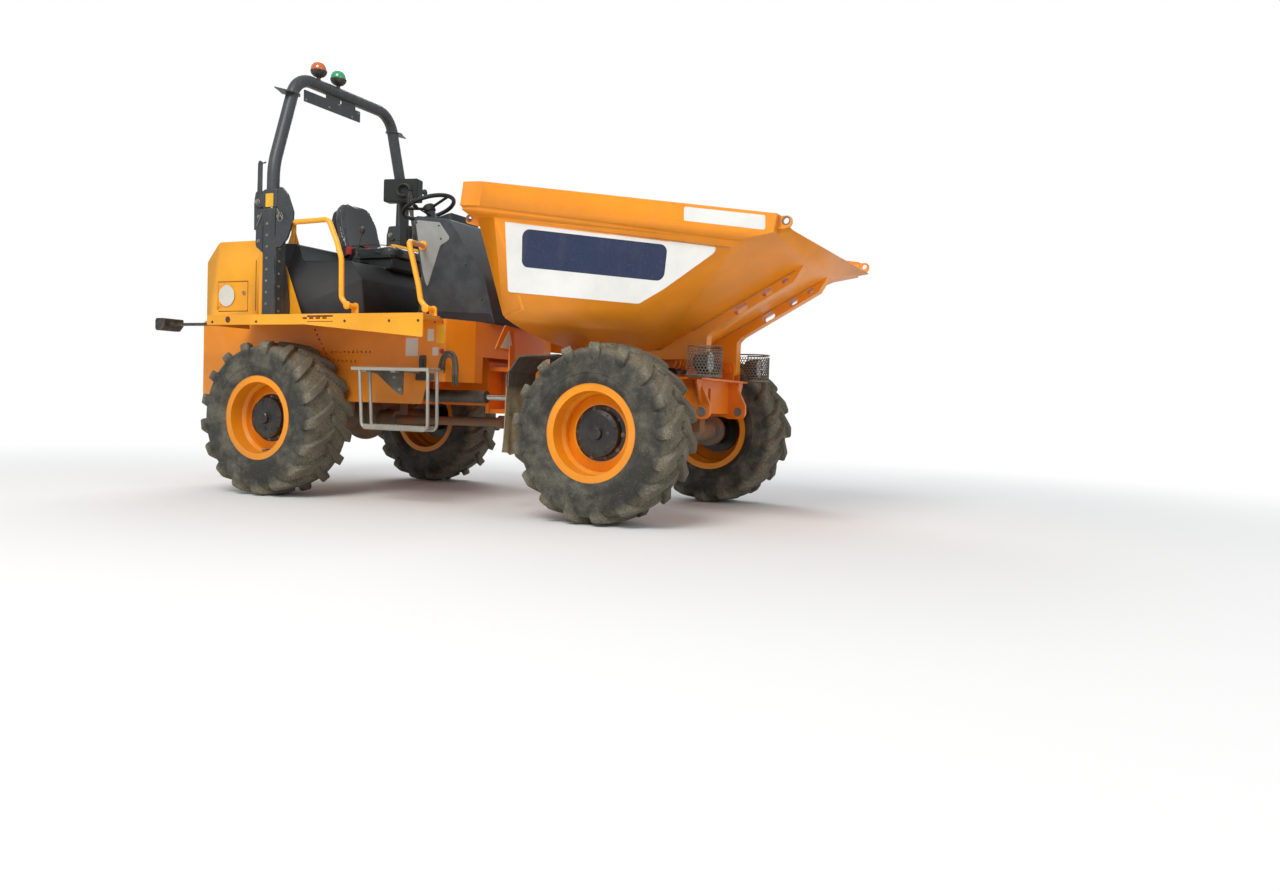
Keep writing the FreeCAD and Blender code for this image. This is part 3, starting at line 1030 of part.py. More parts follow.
# Steering rams
for side, tag in ((-1, "right"), (1, "left")):
    rear_eye = V(STEER_REAR[0], side * STEER_REAR[1], STEER_Z)
    front_eye = V(STEER_FRONT[0], side * STEER_FRONT[1], STEER_Z)
    way = V(1, 0, 0)
    up = V(0, 0, 24)
    barrel = fused("steer_barrel_solid_" + tag, [
        rod("steer_tube_" + tag, 42, tuple(rear_eye + way * 62), tuple(rear_eye + way * 545)),
        rod("steer_neck_" + tag, 20, tuple(rear_eye + way * 5), tuple(rear_eye + way * 70)),
        rod("steer_foot_" + tag, 34, tuple(rear_eye - up), tuple(rear_eye + up))])
    ways = fused("steer_ways_" + tag, [
        rod("steer_foot_way_" + tag, 15.3, tuple(rear_eye - up * 2), tuple(rear_eye + up * 2)),
        rod("steer_bore_" + tag, 20.3, tuple(rear_eye + way * 80), tuple(rear_eye + way * 600))])
    node(carved("steer_barrel_node_" + tag, barrel, ways), "steer_barrel_" + tag)
    node(fused("steer_rod_node_" + tag, [
        rod("steer_rod_bar_" + tag, 20, tuple(rear_eye + way * 330), tuple(front_eye - way * 8)),
        rod("steer_rod_eye_" + tag, 34, tuple(front_eye - up), tuple(front_eye + up))]), "steer_rod_" + tag)

problems = []
DOC.recompute()
for obj in DOC.Objects:
    if "Invalid" in obj.State or "Error" in obj.State:
        problems.append(obj.Name)
for obj in NODES:
    if obj.Shape.isNull() or not obj.Shape.isValid():
        problems.append(obj.Label)
if problems:
    raise RuntimeError("failed: " + ", ".join(problems))
os.makedirs("parts", exist_ok=True)
for obj in NODES:
    obj.Shape.exportStep("parts/%s.step" % obj.Label)
    box = obj.Shape.BoundBox
    print("%-22s solids %d  x %.0f..%.0f y %.0f..%.0f z %.0f..%.0f vol %.4f" % (
        obj.Label, len(obj.Shape.Solids), box.XMin, box.XMax, box.YMin, box.YMax, box.ZMin, box.ZMax,
        obj.Shape.Volume / 1e9))
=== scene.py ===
from math import atan2, cos, exp, hypot, pi, radians, sin, sqrt, tan

import bmesh
import bpy
from mathutils import Matrix, Vector


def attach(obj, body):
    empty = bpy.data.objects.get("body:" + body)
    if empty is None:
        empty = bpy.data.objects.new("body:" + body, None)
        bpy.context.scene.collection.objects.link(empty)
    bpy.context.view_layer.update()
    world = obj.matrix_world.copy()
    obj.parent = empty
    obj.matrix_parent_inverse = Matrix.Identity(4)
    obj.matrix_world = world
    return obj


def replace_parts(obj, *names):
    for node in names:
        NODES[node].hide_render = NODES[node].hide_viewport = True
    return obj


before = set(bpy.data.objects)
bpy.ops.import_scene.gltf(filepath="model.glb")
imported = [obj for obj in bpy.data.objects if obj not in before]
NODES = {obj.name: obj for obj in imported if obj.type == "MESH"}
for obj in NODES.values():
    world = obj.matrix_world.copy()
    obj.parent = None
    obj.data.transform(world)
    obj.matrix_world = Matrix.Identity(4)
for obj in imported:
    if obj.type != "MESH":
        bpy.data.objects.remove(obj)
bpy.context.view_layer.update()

# Looks of a site dumper. Metres, +X forward, +Y to the machine's left, +Z up.
SCENE = bpy.context.scene
# the machine's right and left
SIDES = (-1, 1)


# Colours
def paint(code):
    """A written colour such as F7A31C as linear red, green, blue, alpha."""
    parts = [int(code[i:i + 2], 16) / 255 for i in (0, 2, 4)]
    return tuple(c / 12.92 if c <= 0.04045 else ((c + 0.055) / 1.055) ** 2.4 for c in parts) + (1.0,)


YELLOW = paint("FBAA12")
SKIP_ORANGE = paint("F6940A")
# painted shade: the chassis paint is darkened to a deeper orange, standing in for the shade under the body
CHASSIS_ORANGE_SHADED = paint("EE7D06")
DUST = paint("A89C84")
MUD = paint("7A7060")
BARE_STEEL = paint("8A8680")


# Node trees
class Net:
    """Adds nodes to one tree: a socket given as an input is joined, anything else is its value."""

    def __init__(self, tree):
        self.tree = tree

    def add(self, kind, inputs=None, **settings):
        node = self.tree.nodes.new(kind)
        for name, value in settings.items():
            setattr(node, name, value)
        for key, value in (inputs or {}).items():
            if isinstance(value, bpy.types.NodeSocket):
                self.tree.links.new(value, node.inputs[key])
            else:
                node.inputs[key].default_value = value
        return node

    def math(self, operation, a, b=0.0, clamp=False):
        return self.add("ShaderNodeMath", {0: a, 1: b}, operation=operation, use_clamp=clamp).outputs[0]

    def spread(self, value, low, high, to_low=0.0, to_high=1.0):
        node = self.add("ShaderNodeMapRange", {0: value, 1: low, 2: high, 3: to_low, 4: to_high},
                        interpolation_type="SMOOTHSTEP")
        return node.outputs[0]

    def blend(self, share, first, second, kind="MIX"):
        node = self.add("ShaderNodeMix", {0: share, 6: first, 7: second}, data_type="RGBA", blend_type=kind)
        return node.outputs[2]

    def noise(self, vector, scale, detail=4.0, rough=0.55):
        node = self.add("ShaderNodeTexNoise", {"Vector": vector, "Scale": scale, "Detail": detail,
                                               "Roughness": rough})
        return node.outputs[0]


def node_group(name, inputs, outputs, kind="ShaderNodeTree"):
    """An empty group with named sockets: (name, type, value) in and (name, type) out."""
    tree = bpy.data.node_groups.new(name, kind)
    for label, socket, value in inputs:
        made = tree.interface.new_socket(name=label, in_out="INPUT", socket_type="NodeSocket" + socket)
        if value is not None:
            made.default_value = value
    for label, socket in outputs:
        tree.interface.new_socket(name=label, in_out="OUTPUT", socket_type="NodeSocket" + socket)
    return tree, Net(tree), tree.nodes.new("NodeGroupInput").outputs, tree.nodes.new("NodeGroupOutput")


def make_weathering():
    """Paint tone, chipped edges, streaks and dust: one group for every hard surface."""
    tree, net, given, out = node_group(
        "weathering",
        [("Paint", "Color", YELLOW), ("Dirt", "Color", DUST), ("Bare", "Color", BARE_STEEL),
         ("Dust", "Float", 0.3), ("Wear", "Float", 0.4), ("Scale", "Float", 1.0),
         ("Roughness", "Float", 0.4), ("Clean above", "Float", 1.3)],
        [("Color", "Color"), ("Roughness", "Float"), ("Height", "Float")])
    place = net.add("ShaderNodeTexCoord").outputs["Object"]
    sized = net.add("ShaderNodeVectorMath", {0: place, 3: given["Scale"]}, operation="SCALE").outputs[0]
    high = net.add("ShaderNodeSeparateXYZ", {0: place}).outputs[2]
    normal = net.add("ShaderNodeNewGeometry").outputs["Normal"]
    facing = net.add("ShaderNodeSeparateXYZ", {0: normal}).outputs[2]
    cloud = net.noise(sized, 1.7, 5.0)
    patch = net.noise(sized, 7.0, 6.0, 0.65)
    speck = net.noise(sized, 70.0, 3.0, 0.6)
    long_place = net.add("ShaderNodeVectorMath", {0: sized, 1: (1.0, 1.0, 0.09)},
                         operation="MULTIPLY").outputs[0]
    streak = net.noise(long_place, 16.0, 5.0, 0.6)
    tone = net.spread(cloud, 0.3, 0.7, 0.86, 1.07)
    toned = net.add("ShaderNodeVectorMath", {0: given["Paint"], 3: tone}, operation="SCALE").outputs[0]
    low_down = net.spread(net.math("DIVIDE", high, given["Clean above"]), 0.15, 1.0, 1.0, 0.0)
    upward = net.spread(facing, 0.55, 0.95)
    runs = net.spread(streak, 0.5, 0.72)
    specks = net.spread(speck, 0.52, 0.7)
    film = net.math("ADD", net.math("MULTIPLY", low_down, 0.95), net.math("MULTIPLY", upward, 0.8))
    film = net.math("ADD", film, net.math("MULTIPLY", runs, 0.35))
    film = net.math("ADD", film, 0.12)
    film = net.math("MULTIPLY", film, net.spread(patch, 0.3, 0.68, 0.35, 1.25))
    film = net.math("MULTIPLY", film, given["Dust"], clamp=True)
    rounded = net.add("ShaderNodeBevel", {"Radius": 0.006}, samples=4).outputs[0]
    straight = net.add("ShaderNodeVectorMath", {0: rounded, 1: normal}, operation="DOT_PRODUCT").outputs[1]
    corner = net.math("SUBTRACT", 1.0, straight)
    chipped = net.math("MULTIPLY", net.spread(corner, 0.004, 0.05), net.spread(patch, 0.42, 0.6))
    scars = net.math("MULTIPLY", net.spread(net.noise(sized, 26.0, 6.0, 0.75), 0.665, 0.7), 0.8)
    bare = net.math("MULTIPLY", net.math("MAXIMUM", chipped, scars), given["Wear"], clamp=True)
    specks = net.math("MULTIPLY", specks, net.math("MULTIPLY", given["Dust"], 0.35))
    colour = net.blend(specks, toned, given["Dirt"])
    colour = net.blend(bare, colour, given["Bare"])
    colour = net.blend(film, colour, given["Dirt"])
    rough = net.math("ADD", given["Roughness"], net.math("MULTIPLY", film, 0.4), clamp=True)
    rough = net.math("ADD", rough, net.math("MULTIPLY", bare, 0.15), clamp=True)
    relief = net.math("SUBTRACT", net.math("MULTIPLY", film, speck), net.math("MULTIPLY", bare, 0.7))
    for label, value in (("Color", colour), ("Roughness", rough), ("Height", relief)):
        tree.links.new(value, out.inputs[label])
    return tree


def make_grain():
    """Pebbled or brushed surface relief with a slight change of tone."""
    tree, net, given, out = node_group(
        "grain",
        [("Tone", "Color", paint("303234")), ("Worn tone", "Color", paint("50524F")),
         ("Pebble", "Float", 300.0), ("Creases", "Float", 0.2), ("Worn", "Float", 0.3)],
        [("Color", "Color"), ("Roughness", "Float"), ("Height", "Float")])
    place = net.add("ShaderNodeTexCoord").outputs["Object"]
    cells = net.add("ShaderNodeTexVoronoi", {"Vector": place, "Scale": given["Pebble"]},
                    feature="SMOOTH_F1").outputs["Distance"]
    soft = net.noise(place, 9.0, 5.0, 0.6)
    crease = net.spread(net.noise(place, 24.0, 6.0, 0.7), 0.5, 0.56)
    normal = net.add("ShaderNodeNewGeometry").outputs["Normal"]
    facing = net.add("ShaderNodeSeparateXYZ", {0: normal}).outputs[2]
    rubbed = net.math("MULTIPLY", net.spread(soft, 0.35, 0.7), given["Worn"])
    rubbed = net.math("ADD", rubbed, net.math("MULTIPLY", net.spread(facing, 0.6, 1.0), 0.2), clamp=True)
    colour = net.blend(rubbed, given["Tone"], given["Worn tone"])
    height = net.math("SUBTRACT", cells, net.math("MULTIPLY", crease, given["Creases"]))
    rough = net.math("ADD", 0.45, net.math("MULTIPLY", soft, 0.3))
    for label, value in (("Color", colour), ("Roughness", rough), ("Height", height)):
        tree.links.new(value, out.inputs[label])
    return tree


WEATHERING = make_weathering()
GRAIN = make_grain()


def surface(name, group, values, bump=0.3, depth=0.0008, **shader):
    """A material whose colour, roughness and relief come from a group with its own values."""
    material = bpy.data.materials.new(name)
    material.use_nodes = True
    net = Net(material.node_tree)
    principled = material.node_tree.nodes["Principled BSDF"]
    effect = net.add("ShaderNodeGroup", node_tree=group)
    for key, value in values.items():
        effect.inputs[key].default_value = value
    links = material.node_tree.links
    links.new(effect.outputs["Color"], principled.inputs["Base Color"])
    links.new(effect.outputs["Roughness"], principled.inputs["Roughness"])
    relief = net.add("ShaderNodeBump", {"Strength": bump, "Distance": depth,
                                        "Height": effect.outputs["Height"]})
    links.new(relief.outputs[0], principled.inputs["Normal"])
    for key, value in shader.items():
        principled.inputs[key.replace("_", " ").title().replace("Ior", "IOR")].default_value = value
    return material


def weathered(name, colour, dust=0.3, wear=0.4, rough=0.38, scale=1.0, clean_above=1.3, dirt=DUST,
              bare=BARE_STEEL, **more):
    values = {"Paint": colour, "Dirt": dirt, "Bare": bare, "Dust": dust, "Wear": wear, "Scale": scale,
              "Roughness": rough, "Clean above": clean_above}
    return surface(name, WEATHERING, values, **more)


def grained(name, tone, worn, pebble=300.0, creases=0.2, rubbed=0.3, **more):
    values = {"Tone": tone, "Worn tone": worn, "Pebble": pebble, "Creases": creases, "Worn": rubbed}
    return surface(name, GRAIN, values, **more)


FINISH = {
    "yellow": weathered("yellow_paint", YELLOW, 0.18, 0.35, 0.34, clean_above=1.5),
    # painted shade: the side panels and cab floor get a deeper orange than the yellow paint, standing in for
    # the shade under the running boards
    "orange": weathered("body_side_paint_and_painted_shade", paint("F28E08"), 0.22, 0.5, 0.38, clean_above=1.15),
    "skip": weathered("skip_paint", SKIP_ORANGE, 0.14, 0.85, 0.36, clean_above=1.5, bare=paint("B98A52")),
    "chassis": weathered("chassis_paint", CHASSIS_ORANGE_SHADED, 0.14, 0.5, 0.38, clean_above=0.8),
    "axle": weathered("axle_paint", paint("B8681A"), 1.0, 0.7, 0.6, clean_above=1.2, dirt=MUD),
    "rim": weathered("rim_paint", paint("F8980A"), 0.14, 0.5, 0.36, clean_above=0.9, dirt=paint("9A7A4E")),
    "casting": weathered("counterweight_paint", paint("F09A1C"), 0.55, 0.9, 0.5, clean_above=1.3, bump=0.5),
    "roll_bar": weathered("roll_bar_paint", paint("343B40"), 0.2, 0.35, 0.42, clean_above=1.3),
    "black": weathered("black_steel", paint("1B1C1D"), 0.45, 0.5, 0.5, clean_above=1.2),
    "hub": weathered("hub_black", paint("121314"), 0.06, 0.3, 0.30, clean_above=1.0, scale=2.0),
    "rail": weathered("handrail_paint", paint("FFB222"), 0.12, 0.5, 0.34),
    "step": weathered("galvanised", paint("B4B1A6"), 0.45, 0.2, 0.45, dirt=MUD,
                      metallic=0.55, clean_above=1.0),
    "guard": weathered("worn_guard", paint("5F5850"), 0.5, 0.8, 0.5, dirt=MUD,
                       bare=paint("A39A8C"), metallic=0.4),
    "iron": weathered("engine_iron", paint("3A3B3A"), 0.5, 0.3, 0.6),
    "barrel": weathered("ram_barrel", paint("17181A"), 0.22, 0.3, 0.42, clean_above=1.2),
    "chrome": weathered("ram_rod", paint("C9CBCD"), 0.15, 0.1, 0.16, metallic=1.0),
    "moulded": grained("moulded_black", paint("17191B"), paint("333537"), 520.0, 0.0, 0.35, bump=0.22),
    "cowl": grained("moulded_cowl", paint("2D3439"), paint("51585C"), 520.0, 0.0, 0.45, bump=0.22),
    "vinyl": grained("seat_cover", paint("1E2124"), paint("3A3D40"), 260.0, 0.3, 0.3,
                     bump=0.14, coat_weight=0.65),
    "grip": grained("steering_grip", paint("151617"), paint("2C2D2E"), 420.0, 0.0, 0.3),
    "flap": weathered("flap_rubber", paint("39362F"), 1.3, 0.1, 0.75, dirt=paint("A79878"), clean_above=1.2),
    "mudguard": weathered("mudguard_rubber", paint("222221"), 0.45, 0.2, 0.6, clean_above=1.3),
    "white": weathered("white_panel", paint("E6E6E2"), 0.16, 0.1, 0.3, clean_above=1.25,
                       dirt=paint("B9AE98")),
    "navy": weathered("navy_panel", paint("1B2A4C"), 0.12, 0.1, 0.3, clean_above=1.25),
    "weld": weathered("weld_bead", paint("D08418"), 0.5, 0.7, 0.6, scale=4.0, bump=0.7),
    "smoke": grained("console_panel", paint("8F9594"), paint("A9ADAB"), 520.0, 0.0, 0.4, bump=0.2),
    "box_black": grained("switch_box_case", paint("141B1B"), paint("2A3232"), 420.0, 0.0, 0.3),
    "label_white": weathered("blank_label_white", paint("DFDCD2"), 0.35, 0.15, 0.35, scale=2.0),
    "label_yellow": weathered("blank_label_yellow", paint("F0B71C"), 0.25, 0.15, 0.35, scale=2.0),
    "red": weathered("red_moulding", paint("A61F18"), 0.2, 0.1, 0.35, scale=2.0),
    "zinc": weathered("plated_bolts", paint("A39E92"), 0.4, 0.3, 0.4, scale=3.0, metallic=0.75, dirt=MUD),
    "brass": weathered("brass_fitting", paint("B8924A"), 0.3, 0.2, 0.35, scale=3.0, metallic=0.9),
    "hose": weathered("hose_rubber", paint("191A1B"), 0.35, 0.1, 0.5, scale=2.0),
    "webbing": grained("belt_webbing", paint("1F2124"), paint("383A3C"), 700.0, 0.0, 0.3, bump=0.4),
    # dark joints of the cover seams; on the rear grille the same black is painted shade in place of open
    # slots
    "gap": weathered("dark_joint_and_painted_slot_shade", paint("0B0B0B"), 0.2, 0.0, 0.8),
    "red_lens": weathered("red_lens", paint("8C1613"), 0.15, 0.0, 0.12, coat_weight=0.8),
    "amber_lens": weathered("amber_lens", paint("D2641C"), 0.1, 0.0, 0.1, coat_weight=1.0),
    "green_lens": weathered("green_lens", paint("16A267"), 0.1, 0.0, 0.1, coat_weight=1.0),
    # the reflectors' own dark red; on the board's edge the same colour is painted shade in the hand-hold
    # slots
    "dark_red": weathered("red_reflector_and_painted_slot_shade", paint("551A0E"), 0.3, 0.2, 0.5, scale=2.0),
    "pin_steel": weathered("rubbed_pin_steel", paint("8E8A80"), 0.45, 0.4, 0.45, scale=2.0,
                           metallic=0.6, dirt=MUD),
    "clear_lens": weathered("clear_lens", paint("D9DCDD"), 0.15, 0.0, 0.08, metallic=0.55, coat_weight=1.0),
}

NODE_FINISH = {
    "rear_axle": "axle", "front_axle": "axle", "rear_chassis": "chassis", "front_chassis": "chassis",
    "skip_shell": "skip", "skip_ribs": "skip", "tip_ram_barrels": "barrel", "tip_ram_rods": "chrome",
    "side_panels": "orange", "cab_floor": "orange", "running_boards": "yellow", "counterweight": "casting",
    "engine": "iron", "engine_cover": "yellow", "access_door": "yellow", "rops_posts": "roll_bar",
    "rops_hoop": "roll_bar", "beacons": "black", "seat_surround": "moulded", "seat_cushion": "vinyl",
    "seat_back": "vinyl", "console": "cowl", "steering_wheel": "grip", "handrails": "rail", "steps": "step",
    "rear_lamps": "black", "mudguards": "mudguard", "headlamps": "guard", "steer_barrel_right": "barrel",
    "steer_barrel_left": "barrel", "steer_rod_right": "chrome", "steer_rod_left": "chrome",
}
for wheel in ("front_right", "front_left", "rear_right", "rear_left"):
    NODE_FINISH["tyre_" + wheel] = "mudguard"
    NODE_FINISH["rim_" + wheel] = "rim"
    NODE_FINISH["hub_" + wheel] = "hub"
for name, node in NODES.items():
    node.data.materials.clear()
    node.data.materials.append(FINISH[NODE_FINISH[name]])


# Mesh helpers
def settle(name, mesh, material, body, sharp=35):
    """Turns a mesh into a piece of the machine, riding on a body."""
    mesh.shade_smooth()
    mesh.set_sharp_from_angle(angle=radians(sharp))
    piece = bpy.data.objects.new(name, mesh)
    SCENE.collection.objects.link(piece)
    if material:
        mesh.materials.clear()
        mesh.materials.append(FINISH[material] if isinstance(material, str) else material)
    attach(piece, body)
    return piece


def as_mesh(name, form):
    mesh = bpy.data.meshes.new(name)
    form.to_mesh(mesh)
    form.free()
    return mesh


def ring_form(form, profile, around=96, closed=True):
    """Turns an outline of (along Y, radius) about the Y axis."""
    rings = []
    for i in range(around):
        angle = 2 * pi * i / around
        c, s = cos(angle), sin(angle)
        rings.append([form.verts.new((r * c, y, r * s)) for y, r in profile])
    count = len(profile)
    for i in range(around):
        here, there = rings[i], rings[(i + 1) % around]
        for j in range(count if closed else count - 1):
            k = (j + 1) % count
            form.faces.new((here[j], here[k], there[k], there[j]))
    return form


# Tyres
WHEELS = {"front_right": (1.219, -1), "front_left": (1.219, 1), "rear_right": (-1.278, -1),
          "rear_left": (-1.278, 1)}
HALF_TRACK, AXLE_HIGH = 0.893, 0.515
LUGS_A_SIDE = 17
LUG_CHAMFER, LUG_CORNER = 0.004, radians(38)
# along the axle, radius: bead, side wall with its scuff rings, shoulder and the ground between the lugs
CARCASS = (
    (0.1595, 0.2502), (0.1625, 0.262), (0.172, 0.277), (0.181, 0.288), (0.1875, 0.300), (0.1925, 0.306),
    (0.1965, 0.322), (0.1975, 0.334), (0.2015, 0.338), (0.2015, 0.347), (0.1995, 0.352), (0.2005, 0.372),
    (0.1985, 0.396), (0.1955, 0.412), (0.1905, 0.432), (0.1830, 0.452), (0.1690, 0.467), (0.1400, 0.4755),
    (0.0900, 0.4815), (0.0300, 0.4840),
)
# turn along the lug, foot (along, radius), top (along, radius), half width at the top and at the foot
LUG = (
    (0.000, (-0.012, 0.476), (-0.010, 0.5135), 0.021, 0.027),
    (0.050, (0.022, 0.476), (0.022, 0.5149), 0.024, 0.031),
    (0.110, (0.060, 0.475), (0.060, 0.5147), 0.026, 0.033),
    (0.165, (0.100, 0.472), (0.100, 0.5135), 0.028, 0.035),
    (0.212, (0.136, 0.467), (0.140, 0.5110), 0.030, 0.037),
    (0.246, (0.160, 0.455), (0.172, 0.5070), 0.032, 0.039),
    (0.268, (0.172, 0.440), (0.1945, 0.4960), 0.033, 0.039),
    (0.280, (0.180, 0.425), (0.2035, 0.4720), 0.032, 0.037),
    (0.288, (0.185, 0.410), (0.2046, 0.4420), 0.029, 0.034),
    (0.292, (0.188, 0.398), (0.1995, 0.4140), 0.024, 0.028),
)


def lug_form():
    """One tread lug, a loft along its curved way from the middle of the tread down the shoulder."""
    form = bmesh.new()
    rows = []
    for turn, foot, top, half_top, half_foot in LUG:
        row = []
        for (y, r), half in ((foot, -half_foot), (top, -half_top), (top, half_top), (foot, half_foot)):
            angle = turn + half / r
            row.append(form.verts.new((r * sin(angle), y, r * cos(angle))))
        rows.append(row)
    for before, after in zip(rows, rows[1:]):
        for j in range(4):
            k = (j + 1) % 4
            form.faces.new((before[j], after[j], after[k], before[k]))
    form.faces.new(rows[0])
    form.faces.new(rows[-1][::-1])
    bmesh.ops.recalc_face_normals(form, faces=form.faces)
    edges = [e for e in form.edges if e.calc_face_angle(0) > LUG_CORNER]
    bmesh.ops.bevel(form, geom=edges, offset=LUG_CHAMFER, segments=1, affect="EDGES")
    return as_mesh("lug", form)


def ring_tree():
    """Copies of one shape spaced evenly about the Y axis, with a small seeded change of size."""
    tree, net, given, out = node_group(
        "ring_of_copies",
        [("Shape", "Object", None), ("Count", "Int", 8), ("Start", "Float", 0.0), ("Variation", "Float", 0.0),
         ("Seed", "Int", 1), ("Finish", "Material", None)],
        [("Geometry", "Geometry")], "GeometryNodeTree")
    line = net.add("GeometryNodeMeshLine", {"Count": given["Count"], "Offset": (0.0, 0.0, 0.0)})
    step = net.math("DIVIDE", 2 * pi, given["Count"])
    turn = net.math("MULTIPLY", net.add("GeometryNodeInputIndex").outputs[0], step)
    turn = net.math("ADD", given["Start"], turn)
    spin = net.add("ShaderNodeCombineXYZ", {1: turn}).outputs[0]
    change = net.add("FunctionNodeRandomValue", {2: net.math("SUBTRACT", 1.0, given["Variation"]), 3: 1.0,
                                                 "Seed": given["Seed"]}).outputs[1]
    shape = net.add("GeometryNodeObjectInfo", {0: given["Shape"]}, transform_space="ORIGINAL")
    copies = net.add("GeometryNodeInstanceOnPoints", {"Points": line.outputs[0],
                                                      "Instance": shape.outputs["Geometry"],
                                                      "Rotation": spin, "Scale": change})
    real = net.add("GeometryNodeRealizeInstances", {0: copies.outputs[0]})
    done = net.add("GeometryNodeSetMaterial", {"Geometry": real.outputs[0], "Material": given["Finish"]})
    tree.links.new(done.outputs[0], out.inputs[0])
    return tree


def scatter_tree():
    """A copy of one shape on every point of a mesh, turned as the point's own 'turn' says."""
    tree, net, given, out = node_group(
        "copies_on_points",
        [("Points", "Geometry", None), ("Shape", "Object", None), ("Spin", "Float", 6.28), ("Seed", "Int", 1),
         ("Finish", "Material", None)],
        [("Geometry", "Geometry")], "GeometryNodeTree")
    turn = net.add("GeometryNodeInputNamedAttribute", {"Name": "turn"}, data_type="FLOAT_VECTOR").outputs[0]
    size = net.add("GeometryNodeInputNamedAttribute", {"Name": "size"}, data_type="FLOAT").outputs[0]
    shape = net.add("GeometryNodeObjectInfo", {0: given["Shape"]}, transform_space="ORIGINAL")
    copies = net.add("GeometryNodeInstanceOnPoints", {"Points": given["Points"],
                                                      "Instance": shape.outputs["Geometry"],
                                                      "Rotation": turn, "Scale": size})
    twist = net.add("FunctionNodeRandomValue", {2: 0.0, 3: given["Spin"], "Seed": given["Seed"]}).outputs[1]
    spun = net.add("GeometryNodeRotateInstances", {"Instances": copies.outputs[0], "Local Space": True,
                                                   "Rotation": net.add("ShaderNodeCombineXYZ",
                                                                       {2: twist}).outputs[0]})
    real = net.add("GeometryNodeRealizeInstances", {0: spun.outputs[0]})
    done = net.add("GeometryNodeSetMaterial", {"Geometry": real.outputs[0], "Material": given["Finish"]})
    tree.links.new(done.outputs[0], out.inputs[0])
    return tree


RING, SCATTER = ring_tree(), scatter_tree()


def grown(name, base, tree, values):
    """The mesh that a geometry tree makes from a base mesh, with nothing left live."""
    holder = bpy.data.objects.new(name, base)
    SCENE.collection.objects.link(holder)
    live = holder.modifiers.new("made", "NODES")
    live.node_group = tree
    for item in tree.interface.items_tree:
        if item.in_out == "INPUT" and item.name in values:
            live[item.identifier] = values[item.name]
    depsgraph = bpy.context.evaluated_depsgraph_get()
    mesh = bpy.data.meshes.new_from_object(holder.evaluated_get(depsgraph))
    bpy.data.objects.remove(holder)
    mesh.name = name
    return mesh


def mark_radius(mesh):
    """Keeps each point's distance from the axle, for the tyre's dust."""
    mark = mesh.attributes.new("reach", "FLOAT", "POINT")
    for i, vertex in enumerate(mesh.vertices):
        mark.data[i].value = hypot(vertex.co.x, vertex.co.z)
    return mesh


def tyre_material():
    material = bpy.data.materials.new("tyre_rubber")
    material.use_nodes = True
    net = Net(material.node_tree)
    principled = material.node_tree.nodes["Principled BSDF"]
    place = net.add("ShaderNodeTexCoord").outputs["Object"]
    reach = net.add("ShaderNodeAttribute", attribute_name="reach").outputs["Fac"]
    patch = net.noise(place, 6.0, 6.0, 0.65)
    speck = net.noise(place, 90.0, 4.0, 0.65)
    tread = net.spread(reach, 0.43, 0.482)
    top = net.spread(reach, 0.500, 0.5135)
    dusty = net.math("MULTIPLY", tread, net.spread(patch, 0.3, 0.62, 0.55, 1.0))
    side = net.math("MULTIPLY", net.spread(patch, 0.42, 0.7), 0.55)
    side = net.math("MAXIMUM", side, net.math("MULTIPLY", net.spread(speck, 0.55, 0.75), 0.35))
    film = net.math("MAXIMUM", dusty, side)
    rubber = net.blend(net.spread(patch, 0.35, 0.65), paint("34342F"), paint("4A4943"))
    dust = net.blend(net.spread(speck, 0.4, 0.65), paint("6A6556"), paint("8C8471"))
    colour = net.blend(film, rubber, dust)
    worn_top = net.math("MULTIPLY", top, net.spread(speck, 0.35, 0.6, 0.2, 0.75))
    colour = net.blend(worn_top, colour, paint("5B574B"))
    links = material.node_tree.links
    links.new(colour, principled.inputs["Base Color"])
    links.new(net.spread(film, 0.0, 1.0, 0.62, 0.95), principled.inputs["Roughness"])
    relief = net.math("ADD", speck, net.math("MULTIPLY", patch, 2.0))
    bump = net.add("ShaderNodeBump", {"Strength": 0.5, "Distance": 0.003, "Height": relief})
    links.new(bump.outputs[0], principled.inputs["Normal"])
    principled.inputs["Specular IOR Level"].default_value = 0.3
    return material


TYRE = tyre_material()


def wheel_place(centre_x, side, spin):
    """From a wheel at the origin with its outer face towards -Y to its place; the left is a mirror."""
    flip = Matrix.Diagonal((1, -side, 1, 1))
    centre = Matrix.Translation((centre_x, side * HALF_TRACK, AXLE_HIGH))
    return centre @ flip @ Matrix.Rotation(spin, 4, "Y")


def placed(mesh, matrix):
    """A copy of a mesh in its place, its faces kept outward when the place is a mirror."""
    copy = mesh.copy()
    copy.transform(matrix)
    if matrix.determinant() < 0:
        copy.flip_normals()
    return copy


def make_tyre_mesh():
    form = bmesh.new()
    outline = [(-y, r) for y, r in CARCASS] + [(y, r) for y, r in reversed(CARCASS)]
    inside = [(0.150, 0.2502), (0.158, 0.300), (0.150, 0.420), (-0.150, 0.420),
              (-0.158, 0.300), (-0.150, 0.2502)]
    ring_form(form, outline + inside, 120)
    bmesh.ops.recalc_face_normals(form, faces=form.faces)
    lug = bpy.data.objects.new("lug_right", lug_form())
    other = bpy.data.objects.new("lug_left", placed(lug.data, Matrix.Diagonal((1, -1, 1, 1))))
    pitch = 2 * pi / LUGS_A_SIDE
    for shape, start in ((lug, 0.0), (other, pitch / 2)):
        SCENE.collection.objects.link(shape)
        values = {"Shape": shape, "Count": LUGS_A_SIDE, "Start": start, "Variation": 0.0,
                  "Seed": 4, "Finish": TYRE}
        ring = grown("lugs", bpy.data.meshes.new("empty"), RING, values)
        form.from_mesh(ring)
        bpy.data.objects.remove(shape)
    return mark_radius(as_mesh("tyre", form))


